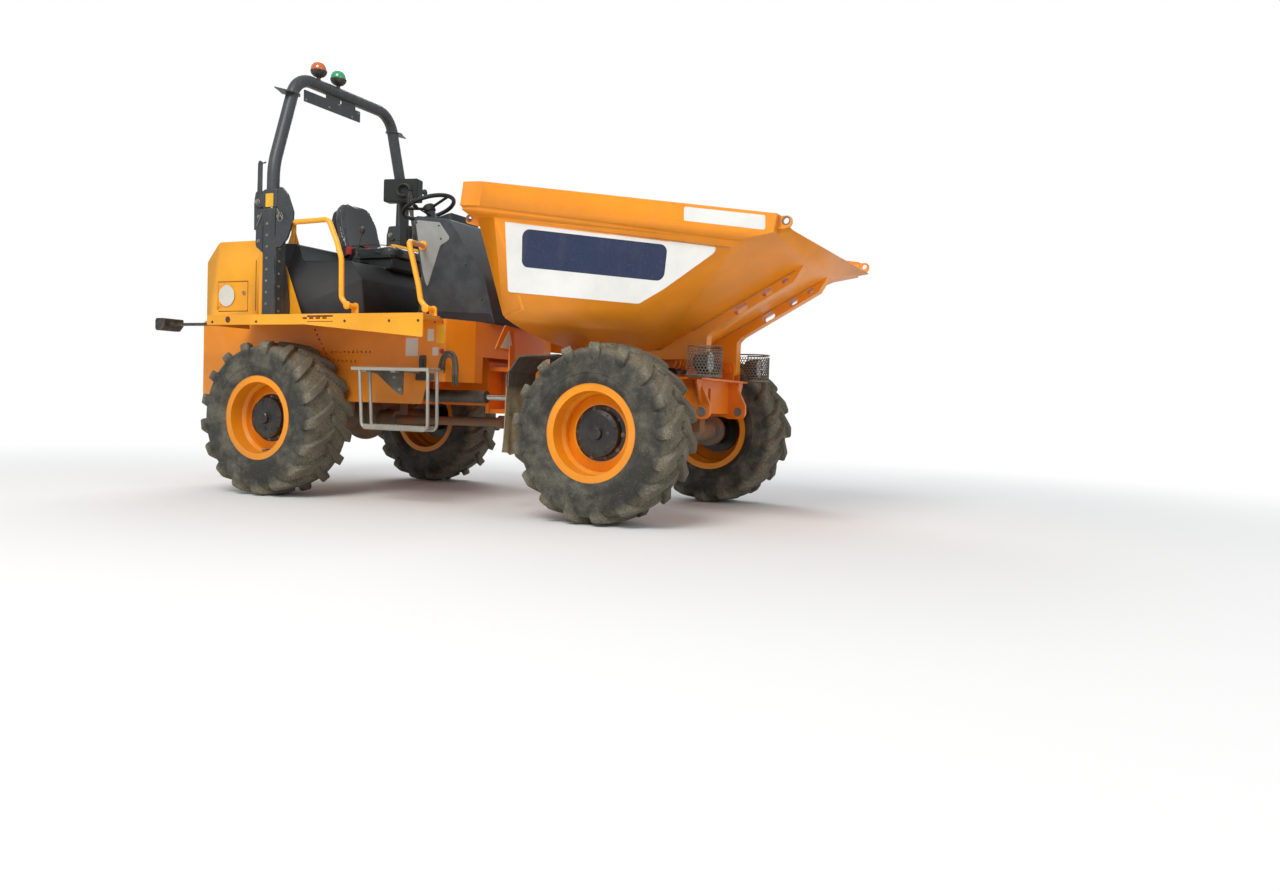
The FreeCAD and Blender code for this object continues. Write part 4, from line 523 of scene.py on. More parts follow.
tyre_mesh = make_tyre_mesh()
for number, (wheel, (centre_x, side)) in enumerate(WHEELS.items()):
    mesh = placed(tyre_mesh, wheel_place(centre_x, side, 0.7 + 1.9 * number))
    tyre = settle("lugged_tyre_" + wheel, mesh, TYRE, "wheel_" + wheel)
    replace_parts(tyre, "tyre_" + wheel)


# Shapes
def outline(corners, steps=5):
    """A polygon from corners (a, b) or (a, b, radius), the round ones in short steps."""
    result = []
    for i, corner in enumerate(corners):
        here = Vector(corner[:2])
        radius = corner[2] if len(corner) > 2 else 0
        if not radius:
            result.append(here)
            continue
        back = (Vector(corners[i - 1][:2]) - here).normalized()
        ahead = (Vector(corners[(i + 1) % len(corners)][:2]) - here).normalized()
        half = back.angle(ahead) / 2
        centre = here + (back + ahead).normalized() * radius / sin(half)
        first = here + back * radius / tan(half) - centre
        last = here + ahead * radius / tan(half) - centre
        turn = first.angle_signed(last)
        result += [centre + Matrix.Rotation(-turn * k / steps, 2) @ first for k in range(steps + 1)]
    return result


def box_outline(wide, high, radius=0.0, steps=4):
    a, b = wide / 2, high / 2
    return outline([(-a, -b, radius), (a, -b, radius), (a, b, radius), (-a, b, radius)], steps)


def rectangle(left, low, right, high):
    return [(left, low), (right, low), (right, high), (left, high)]


def disc_outline(radius, around=28):
    return [(radius * cos(2 * pi * i / around), radius * sin(2 * pi * i / around))
            for i in range(around)]


def slab(form, corners, low, high, place=Matrix(), bevel=0.0):
    """A plate of an outline between two heights."""
    foot = [form.verts.new(place @ Vector((c[0], c[1], low))) for c in corners]
    top = [form.verts.new(place @ Vector((c[0], c[1], high))) for c in corners]
    form.faces.new(foot[::-1])
    lid = form.faces.new(top)
    for i, corner in enumerate(foot):
        j = (i + 1) % len(foot)
        form.faces.new((corner, foot[j], top[j], top[i]))
    if bevel:
        bmesh.ops.bevel(form, geom=list(lid.edges), offset=bevel, segments=2, affect="EDGES")
    return form


def lathe(form, profile, place=Matrix(), around=32):
    """Turns (radius, height) about the place's own Z; a radius of 0 closes it."""
    rings = []
    for radius, height in profile:
        if radius == 0:
            rings.append([form.verts.new(place @ Vector((0, 0, height)))] * around)
            continue
        rings.append([form.verts.new(place @ Vector((radius * cos(2 * pi * i / around),
                                                     radius * sin(2 * pi * i / around), height)))
                      for i in range(around)])
    for here, there in zip(rings, rings[1:]):
        for i in range(around):
            j = (i + 1) % around
            corners = []
            for vertex in (here[i], here[j], there[j], there[i]):
                if vertex not in corners:
                    corners.append(vertex)
            if len(corners) > 2:
                form.faces.new(corners)
    return form


def pipe(form, points, radius, smooth=True, around=6):
    """A round bar along points, as one closed mesh."""
    curve = bpy.data.curves.new("run", "CURVE")
    curve.dimensions, curve.bevel_depth, curve.bevel_resolution = "3D", radius, around // 2 - 1
    curve.resolution_u, curve.use_fill_caps = 6, True
    line = curve.splines.new("NURBS" if smooth else "POLY")
    line.points.add(len(points) - 1)
    for point, place in zip(line.points, points):
        point.co = (*place, 1)
    if smooth:
        line.order_u, line.use_endpoint_u = 3, True
    holder = bpy.data.objects.new("run", curve)
    SCENE.collection.objects.link(holder)
    mesh = bpy.data.meshes.new_from_object(holder.evaluated_get(bpy.context.evaluated_depsgraph_get()))
    form.from_mesh(mesh)
    bpy.data.objects.remove(holder)
    return form


def rounded_path(points, steps=7):
    """A path in space whose inner points (x, y, z, radius) are rounded as arcs."""
    found = [Vector(points[0][:3])]
    for before, here, after in zip(points, points[1:], points[2:]):
        here, radius = Vector(here[:3]), here[3]
        into, away = (Vector(before[:3]) - here).normalized(), (Vector(after[:3]) - here).normalized()
        half = into.angle(away) / 2
        start, end = here + into * radius / tan(half), here + away * radius / tan(half)
        middle = here + (into + away).normalized() * radius / sin(half)
        for i in range(steps + 1):
            found.append(middle + (start - middle).slerp(end - middle, i / steps).normalized() * radius)
    return found + [Vector(points[-1][:3])]


def moved(x, y, z):
    return Matrix.Translation((x, y, z))


def at(place, out=(0, 0, 1), up=(0, 0, 1)):
    """A place whose Z looks along out and whose Y leans to up."""
    z = Vector(out).normalized()
    x = Vector(up).cross(z)
    x = x.normalized() if x.length > 1e-4 else Vector((1, 0, 0))
    return Matrix.Translation(place) @ Matrix((x, z.cross(x), z)).transposed().to_4x4()


def side_view(side, reach):
    """Outlines of (x, z) on a side of the machine; heights go outward from reach."""
    turn = Matrix(((1, 0, 0), (0, 0, side), (0, 1, 0))).to_4x4()
    return moved(0, side * reach, 0) @ turn


def end_view(x, way):
    """Outlines of (y, z) seen along the machine; heights go forward or back from x."""
    return moved(x, 0, 0) @ Matrix(((0, 0, way), (1, 0, 0), (0, 1, 0))).to_4x4()


def finished(name, form, material, body, sharp=35):
    """Closed shapes with their faces outward, as one piece."""
    bmesh.ops.recalc_face_normals(form, faces=form.faces)
    return settle(name, as_mesh(name, form), material, body, sharp)


def both(build, name, material, body, sharp=35):
    """The same piece on both sides of one body."""
    form = bmesh.new()
    for side in SIDES:
        build(form, side)
    return finished(name, form, material, body, sharp)


HEXAGON = [(cos(radians(60 * i)), sin(radians(60 * i))) for i in range(6)]


def bolt_shape():
    """Six-sided head on a washer, one unit across the washer's radius."""
    form = bmesh.new()
    lathe(form, [(1.0, 0.0), (1.0, 0.16), (0.94, 0.2), (0.0, 0.2)], around=20)
    slab(form, [(0.78 * a, 0.78 * b) for a, b in HEXAGON], 0.18, 0.72, bevel=0.07)
    bmesh.ops.recalc_face_normals(form, faces=form.faces)
    return as_mesh("bolt", form)


def stud_shape():
    """Low rounded stud, one unit in radius."""
    form = bmesh.new()
    lathe(form, [(1.0, 0.0), (0.95, 0.25), (0.7, 0.5), (0.3, 0.6), (0.0, 0.62)], around=14)
    bmesh.ops.recalc_face_normals(form, faces=form.faces)
    return as_mesh("stud", form)


BOLT, STUD = bolt_shape(), stud_shape()


def fastened(name, spots, material, body, shape=BOLT, seed=1):
    """Bolt heads, each (place, way it looks, radius), turned at random."""
    base = bpy.data.meshes.new(name)
    base.from_pydata([tuple(place) for place, out, size in spots], [], [])
    base.attributes.new("turn", "FLOAT_VECTOR", "POINT")
    base.attributes.new("size", "FLOAT", "POINT")
    turn, size_of = base.attributes["turn"], base.attributes["size"]
    for i, (place, out, size) in enumerate(spots):
        turn.data[i].vector = Vector(out).to_track_quat("Z", "Y").to_euler()
        size_of.data[i].value = size
    holder = bpy.data.objects.new("shape", shape)
    SCENE.collection.objects.link(holder)
    mesh = grown(name, base, SCATTER, {"Shape": holder, "Spin": 6.28, "Seed": seed,
                                       "Finish": FINISH[material]})
    bpy.data.objects.remove(holder)
    return settle(name, mesh, material, body)


def softened(node, name, width, material, body, segments=3, angle=25, upto=180, reach=0.0, aside=0.0):
    """A node's own shape in its stead, its edges rounded where their angle, length and place allow it."""
    form = bmesh.new()
    form.from_mesh(NODES[node].data)
    bmesh.ops.remove_doubles(form, verts=form.verts, dist=1e-5)
    bmesh.ops.dissolve_limit(form, angle_limit=radians(4), verts=form.verts, edges=form.edges)
    edges = [e for e in form.edges if e.is_manifold and e.calc_length() > reach
             and min(abs(v.co.y) for v in e.verts) >= aside
             and radians(angle) < e.calc_face_angle(0) < radians(upto)]
    bmesh.ops.bevel(form, geom=edges, offset=width, segments=segments, affect="EDGES",
                    clamp_overlap=reach == 0)
    bmesh.ops.recalc_face_normals(form, faces=form.faces)
    piece = settle(name, as_mesh(name, form), material, body, 40)
    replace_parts(piece, node)
    return piece


# Wheels
HUB_FACE, DISC_FACE = 0.093, 0.0485
NUT_CIRCLE, NUTS = 0.143, 10
COVER_CIRCLE, COVER_BOLTS = 0.120, 9
OUTWARD = (0, -1, 0)


def circle_spots(count, radius, face, size, start=0.0):
    """Bolts on the outer face of a wheel that is still at the origin."""
    turns = [2 * pi * (i + start) / count for i in range(count)]
    return [(Vector((radius * sin(a), -face, radius * cos(a))), OUTWARD, size) for a in turns]


def wheel_details(number, wheel, centre_x, side):
    body = "wheel_" + wheel
    place = wheel_place(centre_x, side, 0.35 + 0.8 * number)
    nuts = circle_spots(NUTS, NUT_CIRCLE, DISC_FACE, 0.0135)
    covers = circle_spots(COVER_BOLTS, COVER_CIRCLE, HUB_FACE, 0.0105, 0.3)
    for label, spots, material in (("wheel_nuts_", nuts, "black"), ("cover_bolts_", covers, "hub")):
        spots = [(place @ spot, place.to_3x3() @ Vector(way), size) for spot, way, size in spots]
        fastened(label + wheel, spots, material, body, seed=number + 3)
    form = bmesh.new()
    # ribs round the cover, the middle cap, the drain plug and the flange behind
    for i in range(COVER_BOLTS):
        angle = 2 * pi * (i + 0.8) / COVER_BOLTS
        rib = at((0.085 * sin(angle), -0.098, 0.085 * cos(angle)), OUTWARD,
                 (sin(angle), 0, cos(angle)))
        slab(form, box_outline(0.012, 0.058, 0.003, 2), -0.004, 0.0045, rib, 0.0015)
    cap = [(0.040, 0.0), (0.040, 0.010), (0.034, 0.016), (0.012, 0.018), (0.0, 0.018)]
    lathe(form, cap, at((0, -0.1155, 0), OUTWARD), 28)
    plug = [(0.013, 0.0), (0.013, 0.008), (0.007, 0.010), (0.007, 0.013), (0.0, 0.013)]
    lathe(form, plug, at((0.070, -0.099, 0.026), OUTWARD), 16)
    flange = [(0.110, -0.001), (0.160, -0.001), (0.160, 0.003), (0.157, 0.005), (0.110, 0.005)]
    lathe(form, flange, at((0, -0.0442, 0), OUTWARD), 48)
    form.transform(place)
    finished("hub_trim_" + wheel, form, "hub", body)
    form = bmesh.new()
    pipe(form, [(0.205, -0.03, 0.06), (0.205, -0.075, 0.06), (0.209, -0.088, 0.062)], 0.0055)
    lathe(form, [(0.0085, 0.0), (0.0085, 0.014), (0.0, 0.016)], at((0.209, -0.086, 0.062), (0.1, -1, 0)), 12)
    form.transform(place)
    finished("tyre_valve_" + wheel, form, "black", body)
    form = bmesh.new()
    edge = [(-0.1740, 0.2762), (-0.1735, 0.2790), (-0.1700, 0.2805), (-0.1610, 0.2790), (-0.1600, 0.2762)]
    ring_form(form, edge, 96)
    form.transform(place)
    finished("rim_edge_" + wheel, form, "rim", body)


for number, (wheel, (centre_x, side)) in enumerate(WHEELS.items()):
    wheel_details(number, wheel, centre_x, side)


# Skip
SKIP_SIDE, RIM_SIDE, RIM_DEPTH = 0.880, 0.935, 0.204
FLOOR_SLOPE = radians(29)


def rim_top(x):
    return 1.987 - 0.15385 * (x - 0.35)


def skip_panels():
    """White field with its dark blank panel on each wall, white strip at the rim's front end."""
    white = outline([(0.5014, 1.7560, 0.01), (1.9086, 1.5560, 0.03), (1.560, 1.3300, 0.05),
                     (1.405, 1.2480, 0.05), (0.5365, 1.3296, 0.02)])
    navy = outline([(0.6258, 1.7020, 0.045), (1.5711, 1.5690, 0.045), (1.5533, 1.3700, 0.045),
                    (0.6284, 1.4764, 0.045)], 8)
    strip = [(1.684, 1.764, 0.01), (2.148, 1.694, 0.01), (2.151, 1.617, 0.01), (1.687, 1.688, 0.01)]
    for name, corners, low, high, reach, material in (
            ("side_panels_white", white, -0.0005, 0.0012, SKIP_SIDE, "white"),
            ("side_panels_navy", navy, 0.0010, 0.0022, SKIP_SIDE, "navy"),
            ("rim_strips_white", outline(strip, 3), -0.0005, 0.0010, RIM_SIDE, "white")):
        both(lambda form, side: slab(form, corners, low, high, side_view(side, reach)), name, material,
             "skip")


def skip_welds(form, side):
    """Weld beads: rim to wall, the rim's front end, the front eye's plate, the ribs to the floor."""
    beads = [(0.004, [(x, SKIP_SIDE + 0.0005, rim_top(x) - RIM_DEPTH) for x in (0.42, 0.9, 1.4, 1.94)]),
             (0.003, [(2.2135, RIM_SIDE + 0.0002, 1.697), (2.2018, RIM_SIDE + 0.0002, 1.630)]),
             (0.0035, [(2.2195, 0.8965, 1.694), (2.2195, 0.8965, 1.640)])]
    beads += [(0.004, [(x, y, 1.0175 + (x - 1.279) * tan(FLOOR_SLOPE)) for x in (1.50, 1.85, 2.13)])
              for y in (0.2245, 0.3055)]
    for radius, points in beads:
        pipe(form, [(x, side * y, z) for x, y, z in points], radius, False)


def eye_wear(form, side):
    """Rubbed steel rings round the lifting eyes."""
    around = 32
    outer, inner = disc_outline(0.0235, around), disc_outline(0.0162, around)
    for x, y, z in ((0.165, 0.768, 1.803), (2.250, 0.896, 1.668)):
        place = side_view(side, y) @ moved(x, z, 0)
        rings = [[form.verts.new(place @ Vector((a, b, h))) for a, b in ring]
                 for ring, h in ((inner, -0.001), (inner, 0.0012), (outer, 0.0012), (outer, -0.001))]
        for here, there in zip(rings, rings[1:] + rings[:1]):
            for i in range(around):
                j = (i + 1) % around
                form.faces.new((here[i], here[j], there[j], there[i]))


softened("skip_shell", "skip_skin", 0.016, "skip", "skip", 5, 15, 63, 0.15, 0.5)
skip_panels()
both(skip_welds, "skip_weld_beads", "weld", "skip")
both(eye_wear, "eye_wear_rings", "guard", "skip")


# Seat
def pad_form(corners, low, high, place, swell):
    """A closed block with rounded edges, the start of a stuffed piece."""
    form = bmesh.new()
    slab(form, corners, low, high, place)
    bmesh.ops.bevel(form, geom=list(form.edges), offset=swell, segments=3, affect="EDGES", clamp_overlap=True)
    bmesh.ops.recalc_face_normals(form, faces=form.faces)
    return as_mesh("pad_start", form)


def stuffed(name, start, cap, crown, material, body, node, channels=()):
    """Remeshed, blown up by a cloth simulation, capped, smoothed and sewn."""
    pad = bpy.data.objects.new(name + "_start", start)
    SCENE.collection.objects.link(pad)
    remesh = pad.modifiers.new("remesh", "REMESH")
    remesh.mode, remesh.voxel_size = "VOXEL", 0.0055
    depsgraph = bpy.context.evaluated_depsgraph_get()
    mesh = bpy.data.meshes.new_from_object(pad.evaluated_get(depsgraph))
    bpy.data.objects.remove(pad)
    before = [v.co.copy() for v in mesh.vertices]
    blown = bpy.data.objects.new(name + "_blown", mesh)
    SCENE.collection.objects.link(blown)
    cloth = blown.modifiers.new("cloth", "CLOTH")
    settings = cloth.settings
    settings.quality, settings.mass = 5, 0.3
    settings.tension_stiffness = settings.compression_stiffness = settings.shear_stiffness = 15
    settings.use_pressure, settings.uniform_pressure_force = True, 4.0
    settings.effector_weights.gravity = 0
    for frame_number in range(1, 21):
        SCENE.frame_set(frame_number)
    puffed = bpy.data.meshes.new_from_object(blown.evaluated_get(bpy.context.evaluated_depsgraph_get()))
    for v, w, start_at in zip(mesh.vertices, puffed.vertices, before):
        move = w.co - start_at
        v.co = start_at + move * min(1.0, cap / max(move.length, 1e-6))
    bpy.data.objects.remove(blown)
    SCENE.frame_set(1)
    middle, reach = crown["middle"], crown["reach"]
    for v in mesh.vertices:
        v.co += crown["way"] * crown["high"] * max(0.0, 1 - ((v.co - middle) * reach).length_squared) \
            * max(0.0, crown["side"](v.co))
        for distance, depth, wide, push in channels:
            near = distance(v.co)
            v.co -= push * depth * exp(-(near / wide) ** 2)
    form = bmesh.new()
    form.from_mesh(mesh)
    bmesh.ops.smooth_vert(form, verts=form.verts, factor=0.5, use_axis_x=True,
                          use_axis_y=True, use_axis_z=True)
    bmesh.ops.recalc_face_normals(form, faces=form.faces)
    piece = settle(name, as_mesh(name, form), material, body, 60)
    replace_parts(piece, node)
    return piece


def seat():
    """Cushion and back as in a suspension seat: raised bolsters, a sewn inner panel and piping."""
    corners = outline([(-1.322, -0.212, 0.05), (-0.880, -0.212, 0.09), (-0.880, 0.212, 0.09),
                       (-1.322, 0.212, 0.05)])
    top_side, panel, front_seam = 1.72, 0.150, -1.045
    upward = Vector((0, 0, 1))
    crown = {"middle": Vector((-1.10, 0, 1.75)), "reach": Vector((3.6, 3.4, 0)), "way": -upward,
             "high": 0.012, "side": lambda co: 1.0 if co.z > top_side else 0.0}
    seams = [(lambda co: abs(abs(co.y) - panel) + (0 if co.z > top_side else 1), 0.007, 0.006, upward),
             (lambda co: abs(co.x - front_seam) + (0 if co.z > top_side and abs(co.y) < panel else 1),
              0.005, 0.006, upward)]
    stuffed("seat_cushion_cover", pad_form(corners, 1.690, 1.757, Matrix(), 0.022), 0.010, crown, "vinyl",
            "rear_frame", "seat_cushion", seams)
    lean = atan2(0.10, 0.368)
    across = moved(-1.284, 0, 1.700) @ Matrix.Rotation(-lean, 4, "Y") \
        @ Matrix(((0, 0, -1), (1, 0, 0), (0, 1, 0))).to_4x4()
    back = outline([(-0.215, 0.035, 0.05), (0.215, 0.035, 0.05), (0.205, 0.30, 0.10), (0.145, 0.440, 0.11),
                    (-0.145, 0.440, 0.11), (-0.205, 0.30, 0.10)], 8)
    front = across.to_3x3() @ Vector((0, 0, 1))
    crown = {"middle": across @ Vector((0, 0.22, 0)), "reach": Vector((0, 4.6, 4.2)), "way": front,
             "high": 0.024, "side": lambda co: 1.0 if (across.inverted() @ co).z < 0.03 else 0.0}
    stuffed("seat_back_cover", pad_form(back, 0.012, 0.080, across, 0.026), 0.010, crown, "vinyl",
            "rear_frame", "seat_back")
    form = bmesh.new()
    # moulded shell behind the back, the slides under the cushion and the suspension's folded cover
    shell = outline([(-0.205, 0.03, 0.04), (0.205, 0.03, 0.04), (0.195, 0.30, 0.09), (0.140, 0.408, 0.10),
                     (-0.140, 0.408, 0.10), (-0.195, 0.30, 0.09)], 8)
    slab(form, shell, 0.078, 0.112, across, 0.014)
    for y in (-0.19, 0.19):
        slab(form, box_outline(0.40, 0.05, 0.01), 1.6802, 1.6960, moved(-1.10, y, 0))
    finished("seat_shell", form, "moulded", "rear_frame")
    form = bmesh.new()
    for y in (-0.222, 0.222):
        points = [(-1.325, y, 1.764), (-1.20, y * 1.02, 1.770), (-1.00, y * 1.02, 1.772), (-0.885, y, 1.758)]
        pipe(form, points, 0.0032)
    finished("seat_piping", form, "grip", "rear_frame")


def belt():
    """Lap belt: dark webbing over the cushion to a red buckle on its stalk."""
    form = bmesh.new()
    line = [(-1.305, -0.238, 1.700), (-1.290, -0.236, 1.760), (-1.262, -0.170, 1.7835),
            (-1.242, -0.090, 1.7790)]
    for a, b in zip(line, line[1:]):
        a, b = Vector(a), Vector(b)
        way = (b - a).normalized()
        wide = Vector((0.023, 0, 0))
        thick = way.cross(wide).normalized() * 0.0012
        corners = [form.verts.new(p + s * wide + t * thick) for p in (a - way * 0.003, b + way * 0.003)
                   for s, t in ((-1, -1), (1, -1), (1, 1), (-1, 1))]
        for loop in ((0, 3, 2, 1), (4, 5, 6, 7), (0, 1, 5, 4), (1, 2, 6, 5), (2, 3, 7, 6), (3, 0, 4, 7)):
            form.faces.new([corners[i] for i in loop])
    finished("belt_webbing", form, "webbing", "rear_frame")
    form = bmesh.new()
    place = at((-1.243, -0.070, 1.7805), (0.1, -0.12, 1), (0, 1, 0))
    slab(form, box_outline(0.052, 0.070, 0.010), -0.011, 0.011, place, 0.004)
    slab(form, box_outline(0.036, 0.020, 0.003), 0.010, 0.0135, place @ moved(0, 0.018, 0), 0.0015)
    place = at((-1.262, -0.236, 1.7350), (0, -1, 0.1), (0, 0, 1))
    slab(form, box_outline(0.046, 0.060, 0.008), -0.008, 0.010, place, 0.004)
    finished("belt_buckle", form, "red", "rear_frame")


seat()
belt()


# Driver's place
def console_details():
    def smoke_panel(form, side):
        corners = [(-0.634, 1.920, 0.02), (-0.425, 1.893, 0.02), (-0.330, 1.775, 0.02), (-0.415, 1.735, 0.03),
                   (-0.520, 1.440, 0.01), (-0.560, 1.560, 0.05)]
        slab(form, outline(corners), -0.001, 0.0025, side_view(side, 0.280), 0.001)
    both(smoke_panel, "console_side_panels", "smoke", "rear_frame")

    def base_band(form, side):
        corners = [(-0.592, 1.200, 0.004), (0.036, 1.200, 0.004), (0.010, 1.262, 0.02), (-0.585, 1.290, 0.01)]
        slab(form, outline(corners), -0.001, 0.004, side_view(side, 0.280), 0.0015)
    both(base_band, "console_base_bands", "moulded", "rear_frame")

    form = bmesh.new()
    for x, z in ((-0.620, 1.900), (-0.430, 1.870), (-0.410, 1.780), (-0.540, 1.480),
                 (-0.20, 1.60), (-0.06, 1.36)):
        lathe(form, [(0.007, 0.0), (0.007, 0.003), (0.004, 0.0045), (0.0, 0.0045)],
              side_view(-1, 0.280) @ moved(x, z, 0.002), 12)
    finished("console_screws", form, "black", "rear_frame")
    # instrument hood, dials, switches and levers on the console's sloping top
    top = at((-0.500, 0, 1.9305), (-0.25, 0, 1), (0, 1, 0))
    form = bmesh.new()
    slab(form, box_outline(0.190, 0.340, 0.03), -0.040, 0.030, top, 0.008)
    slab(form, box_outline(0.150, 0.300, 0.02), 0.026, 0.036, top, 0.004)
    finished("instrument_hood", form, "moulded", "rear_frame")
    dials = ((-0.085, 0.042), (0.0, 0.030), (0.085, 0.042))
    form = bmesh.new()
    for y, radius in dials:
        ring = [(radius, 0.0), (radius, 0.006), (radius - 0.004, 0.007),
                (radius - 0.006, 0.003), (0.0, 0.003)]
        lathe(form, ring, top @ moved(0, y, 0.0355), 32)
    finished("dial_rings", form, "black", "rear_frame")
    form = bmesh.new()
    for y, radius in dials:
        face = [(radius - 0.007, 0.0), (radius - 0.007, 0.0006), (0.0, 0.0006)]
        lathe(form, face, top @ moved(0, y, 0.0386), 28)
    finished("dial_faces", form, "white", "rear_frame")
    form = bmesh.new()
    for y, radius in dials:
        tip = radius - 0.012
        needle = top @ moved(0, y, 0.0395) @ Matrix.Rotation(0.9 + 3 * y, 4, "Z")
        slab(form, [(-0.0015, -0.006), (0.0015, -0.006), (0.0006, tip), (-0.0006, tip)], 0, 0.0006, needle)
    for i in range(5):
        place = top @ moved(0.058, -0.12 + 0.06 * i, 0.034)
        slab(form, box_outline(0.026, 0.018, 0.003), 0, 0.007, place, 0.002)
    finished("needles_and_switches", form, "black", "rear_frame")
    form = bmesh.new()
    # column gaiter, shift lever with its knob, ignition key
    lathe(form, [(0.075, -0.01), (0.070, 0.010), (0.060, 0.014), (0.062, 0.026), (0.052, 0.030),
                 (0.053, 0.042), (0.040, 0.048), (0.036, 0.060)],
          at((-0.690, 0, 1.928), (-0.375, 0, 0.927), (0, 1, 0)), 28)
    pipe(form, [(-0.700, -0.03, 2.000), (-0.705, -0.09, 2.010), (-0.720, -0.160, 2.035)], 0.006)
    lathe(form, [(0.0, -0.028), (0.010, -0.026), (0.014, -0.010), (0.013, 0.012), (0.008, 0.022),
                 (0.0, 0.024)], at((-0.722, -0.176, 2.041), (-0.06, -0.9, 0.35)), 16)
    pipe(form, [(-0.700, 0.03, 2.000), (-0.700, 0.08, 2.004), (-0.712, 0.140, 2.020)], 0.005)
    lathe(form, [(0.0, -0.020), (0.008, -0.018), (0.009, 0.014), (0.0, 0.018)],
          at((-0.714, 0.150, 2.023), (0, 1, 0.3)), 14)
    lathe(form, [(0.012, 0.0), (0.012, 0.010), (0.003, 0.011), (0.003, 0.024), (0.0, 0.024)],
          at((-0.560, -0.150, 1.925), (-0.1, -0.1, 1)), 14)
    finished("column_controls", form, "grip", "rear_frame")
    form = bmesh.new()
    # horn button and the turning knob on the steering wheel
    wheel_up = Vector((-sin(radians(22)), 0, cos(radians(22))))
    hub = at(Vector((-0.735, 0, 2.065)) + wheel_up * 0.0075, wheel_up, (0, 1, 0))
    lathe(form, [(0.041, 0.0), (0.036, 0.006), (0.020, 0.009), (0.0, 0.010)], hub, 28)
    lathe(form, [(0.012, 0.0), (0.012, 0.010), (0.017, 0.016), (0.018, 0.034), (0.012, 0.043), (0.0, 0.045)],
          hub @ moved(0.10, -0.154, 0.004), 20)
    finished("wheel_boss_and_knob", form, "moulded", "rear_frame")


def skip_lever():
    """Hydraulic lever with its gate at the driver's right, pedals at the console's foot."""
    form = bmesh.new()
    slab(form, box_outline(0.16, 0.11, 0.02), 0, 0.014, moved(-1.05, -0.40, 1.614), 0.004)
    lathe(form, [(0.030, 0.0), (0.032, 0.010), (0.022, 0.016), (0.024, 0.026), (0.014, 0.034),
                 (0.010, 0.040)], at((-1.05, -0.40, 1.626), (0.1, 0, 1)), 20)
    finished("lever_gate", form, "grip", "rear_frame")
    form = bmesh.new()
    pipe(form, [(-1.05, -0.40, 1.64), (-1.035, -0.40, 1.74), (-1.01, -0.395, 1.82)], 0.007)
    finished("lever_rod", form, "black", "rear_frame")
    form = bmesh.new()
    lathe(form, [(0.0, -0.026), (0.012, -0.022), (0.021, -0.004), (0.021, 0.012), (0.014, 0.024),
                 (0.0, 0.028)], at((-1.006, -0.394, 1.842), (0.2, 0, 1)), 22)
    finished("lever_knob", form, "black", "rear_frame")
    form = bmesh.new()
    for y in (-0.20, 0.06, 0.19):
        pipe(form, [(-0.565, y, 1.42), (-0.610, y, 1.36), (-0.640, y, 1.28)], 0.008)
        pad = at((-0.645, y, 1.268), (-0.75, 0, 0.66), (0, 1, 0))
        slab(form, box_outline(0.07, 0.062, 0.008), -0.006, 0.006, pad, 0.002)
        for k in range(4):
            slab(form, box_outline(0.006, 0.052, 0.001), 0.005, 0.008, pad @ moved(-0.024 + 0.016 * k, 0, 0))
    finished("pedals", form, "black", "rear_frame")


console_details()
skip_lever()
softened("console", "console_cowl", 0.012, "cowl", "rear_frame")
softened("seat_surround", "seat_box", 0.016, "moulded", "rear_frame")


# Roll bar
HINGE_X, HINGE_Z = -1.636, 2.010
POST_REAR, POST_FRONT, POST_IN, POST_OUT = -1.575, -1.456, 0.661, 0.757
HOOP_X, HOOP_TOP, HOOP_RADIUS = -1.532, 2.935, 0.043


def posts(form, side):
    """Upright box post with its foot, hinge tongue, latch plate behind and lock plate in front."""
    view = side_view(side, 0)
    slab(form, outline([(POST_REAR, 1.1953), (POST_FRONT, 1.1953), (POST_FRONT, 1.962), (POST_REAR, 1.962)]),
         POST_IN, POST_OUT, view, 0.006)
    slab(form, outline([(-1.612, 1.1953), (-1.420, 1.1953), (-1.420, 1.211, 0.004), (-1.612, 1.211, 0.004)]),
         0.612, 0.760, view, 0.003)
    web = outline([(side * 0.664, 1.62), (side * 0.603, 1.28, 0.02), (side * 0.603, 1.2),
                   (side * 0.664, 1.2)])
    slab(form, web, -0.008, 0.0, end_view(POST_FRONT, 1), 0)
    tongue = outline([(HINGE_X - 0.052, 1.822), (POST_REAR + 0.001, 1.822), (POST_REAR + 0.001, 1.995, 0.03),
                      (HINGE_X + 0.040, 2.058, 0.03), (HINGE_X - 0.052, 2.058, 0.050)], 8)
    slab(form, tongue, 0.689, 0.729, view, 0.003)
    latch = outline([(-1.640, 1.700, 0.02), (-1.574, 1.655), (-1.574, 1.955), (-1.618, 1.955, 0.03),
                     (-1.640, 1.925, 0.02)])
    slab(form, latch, 0.742, 0.756, view, 0.002)
    lock = outline([(-1.457, 1.690), (-1.410, 1.690, 0.03), (-1.352, 1.745, 0.05), (-1.302, 1.862, 0.05),
                    (-1.300, 1.925, 0.03), (-1.352, 2.045, 0.03), (-1.405, 2.098, 0.02),
                    (-1.4385, 2.098, 0.01), (-1.4385, 1.957), (-1.457, 1.957)])
    slab(form, lock, 0.740, 0.754, view, 0.003)


def post_braces(form, side):
    """Yellow leg in front of each post and the upright flat behind it."""
    view = side_view(side, 0)
    slab(form, [(-1.520, 1.600), (-1.500, 1.570), (-1.334, 1.1955), (-1.520, 1.1955)], 0.5995,
         0.608, view, 0.001)
    slab(form, rectangle(-1.608, 1.1955, -1.5765, 1.702), 0.690, 0.752, view, 0.002)


def post_backs(form, side):
    """Dark flat behind the yellow one."""
    back = rectangle(-1.624, 1.1955, -1.6085, 1.698)
    slab(form, back, 0.640, 0.735, side_view(side, 0))


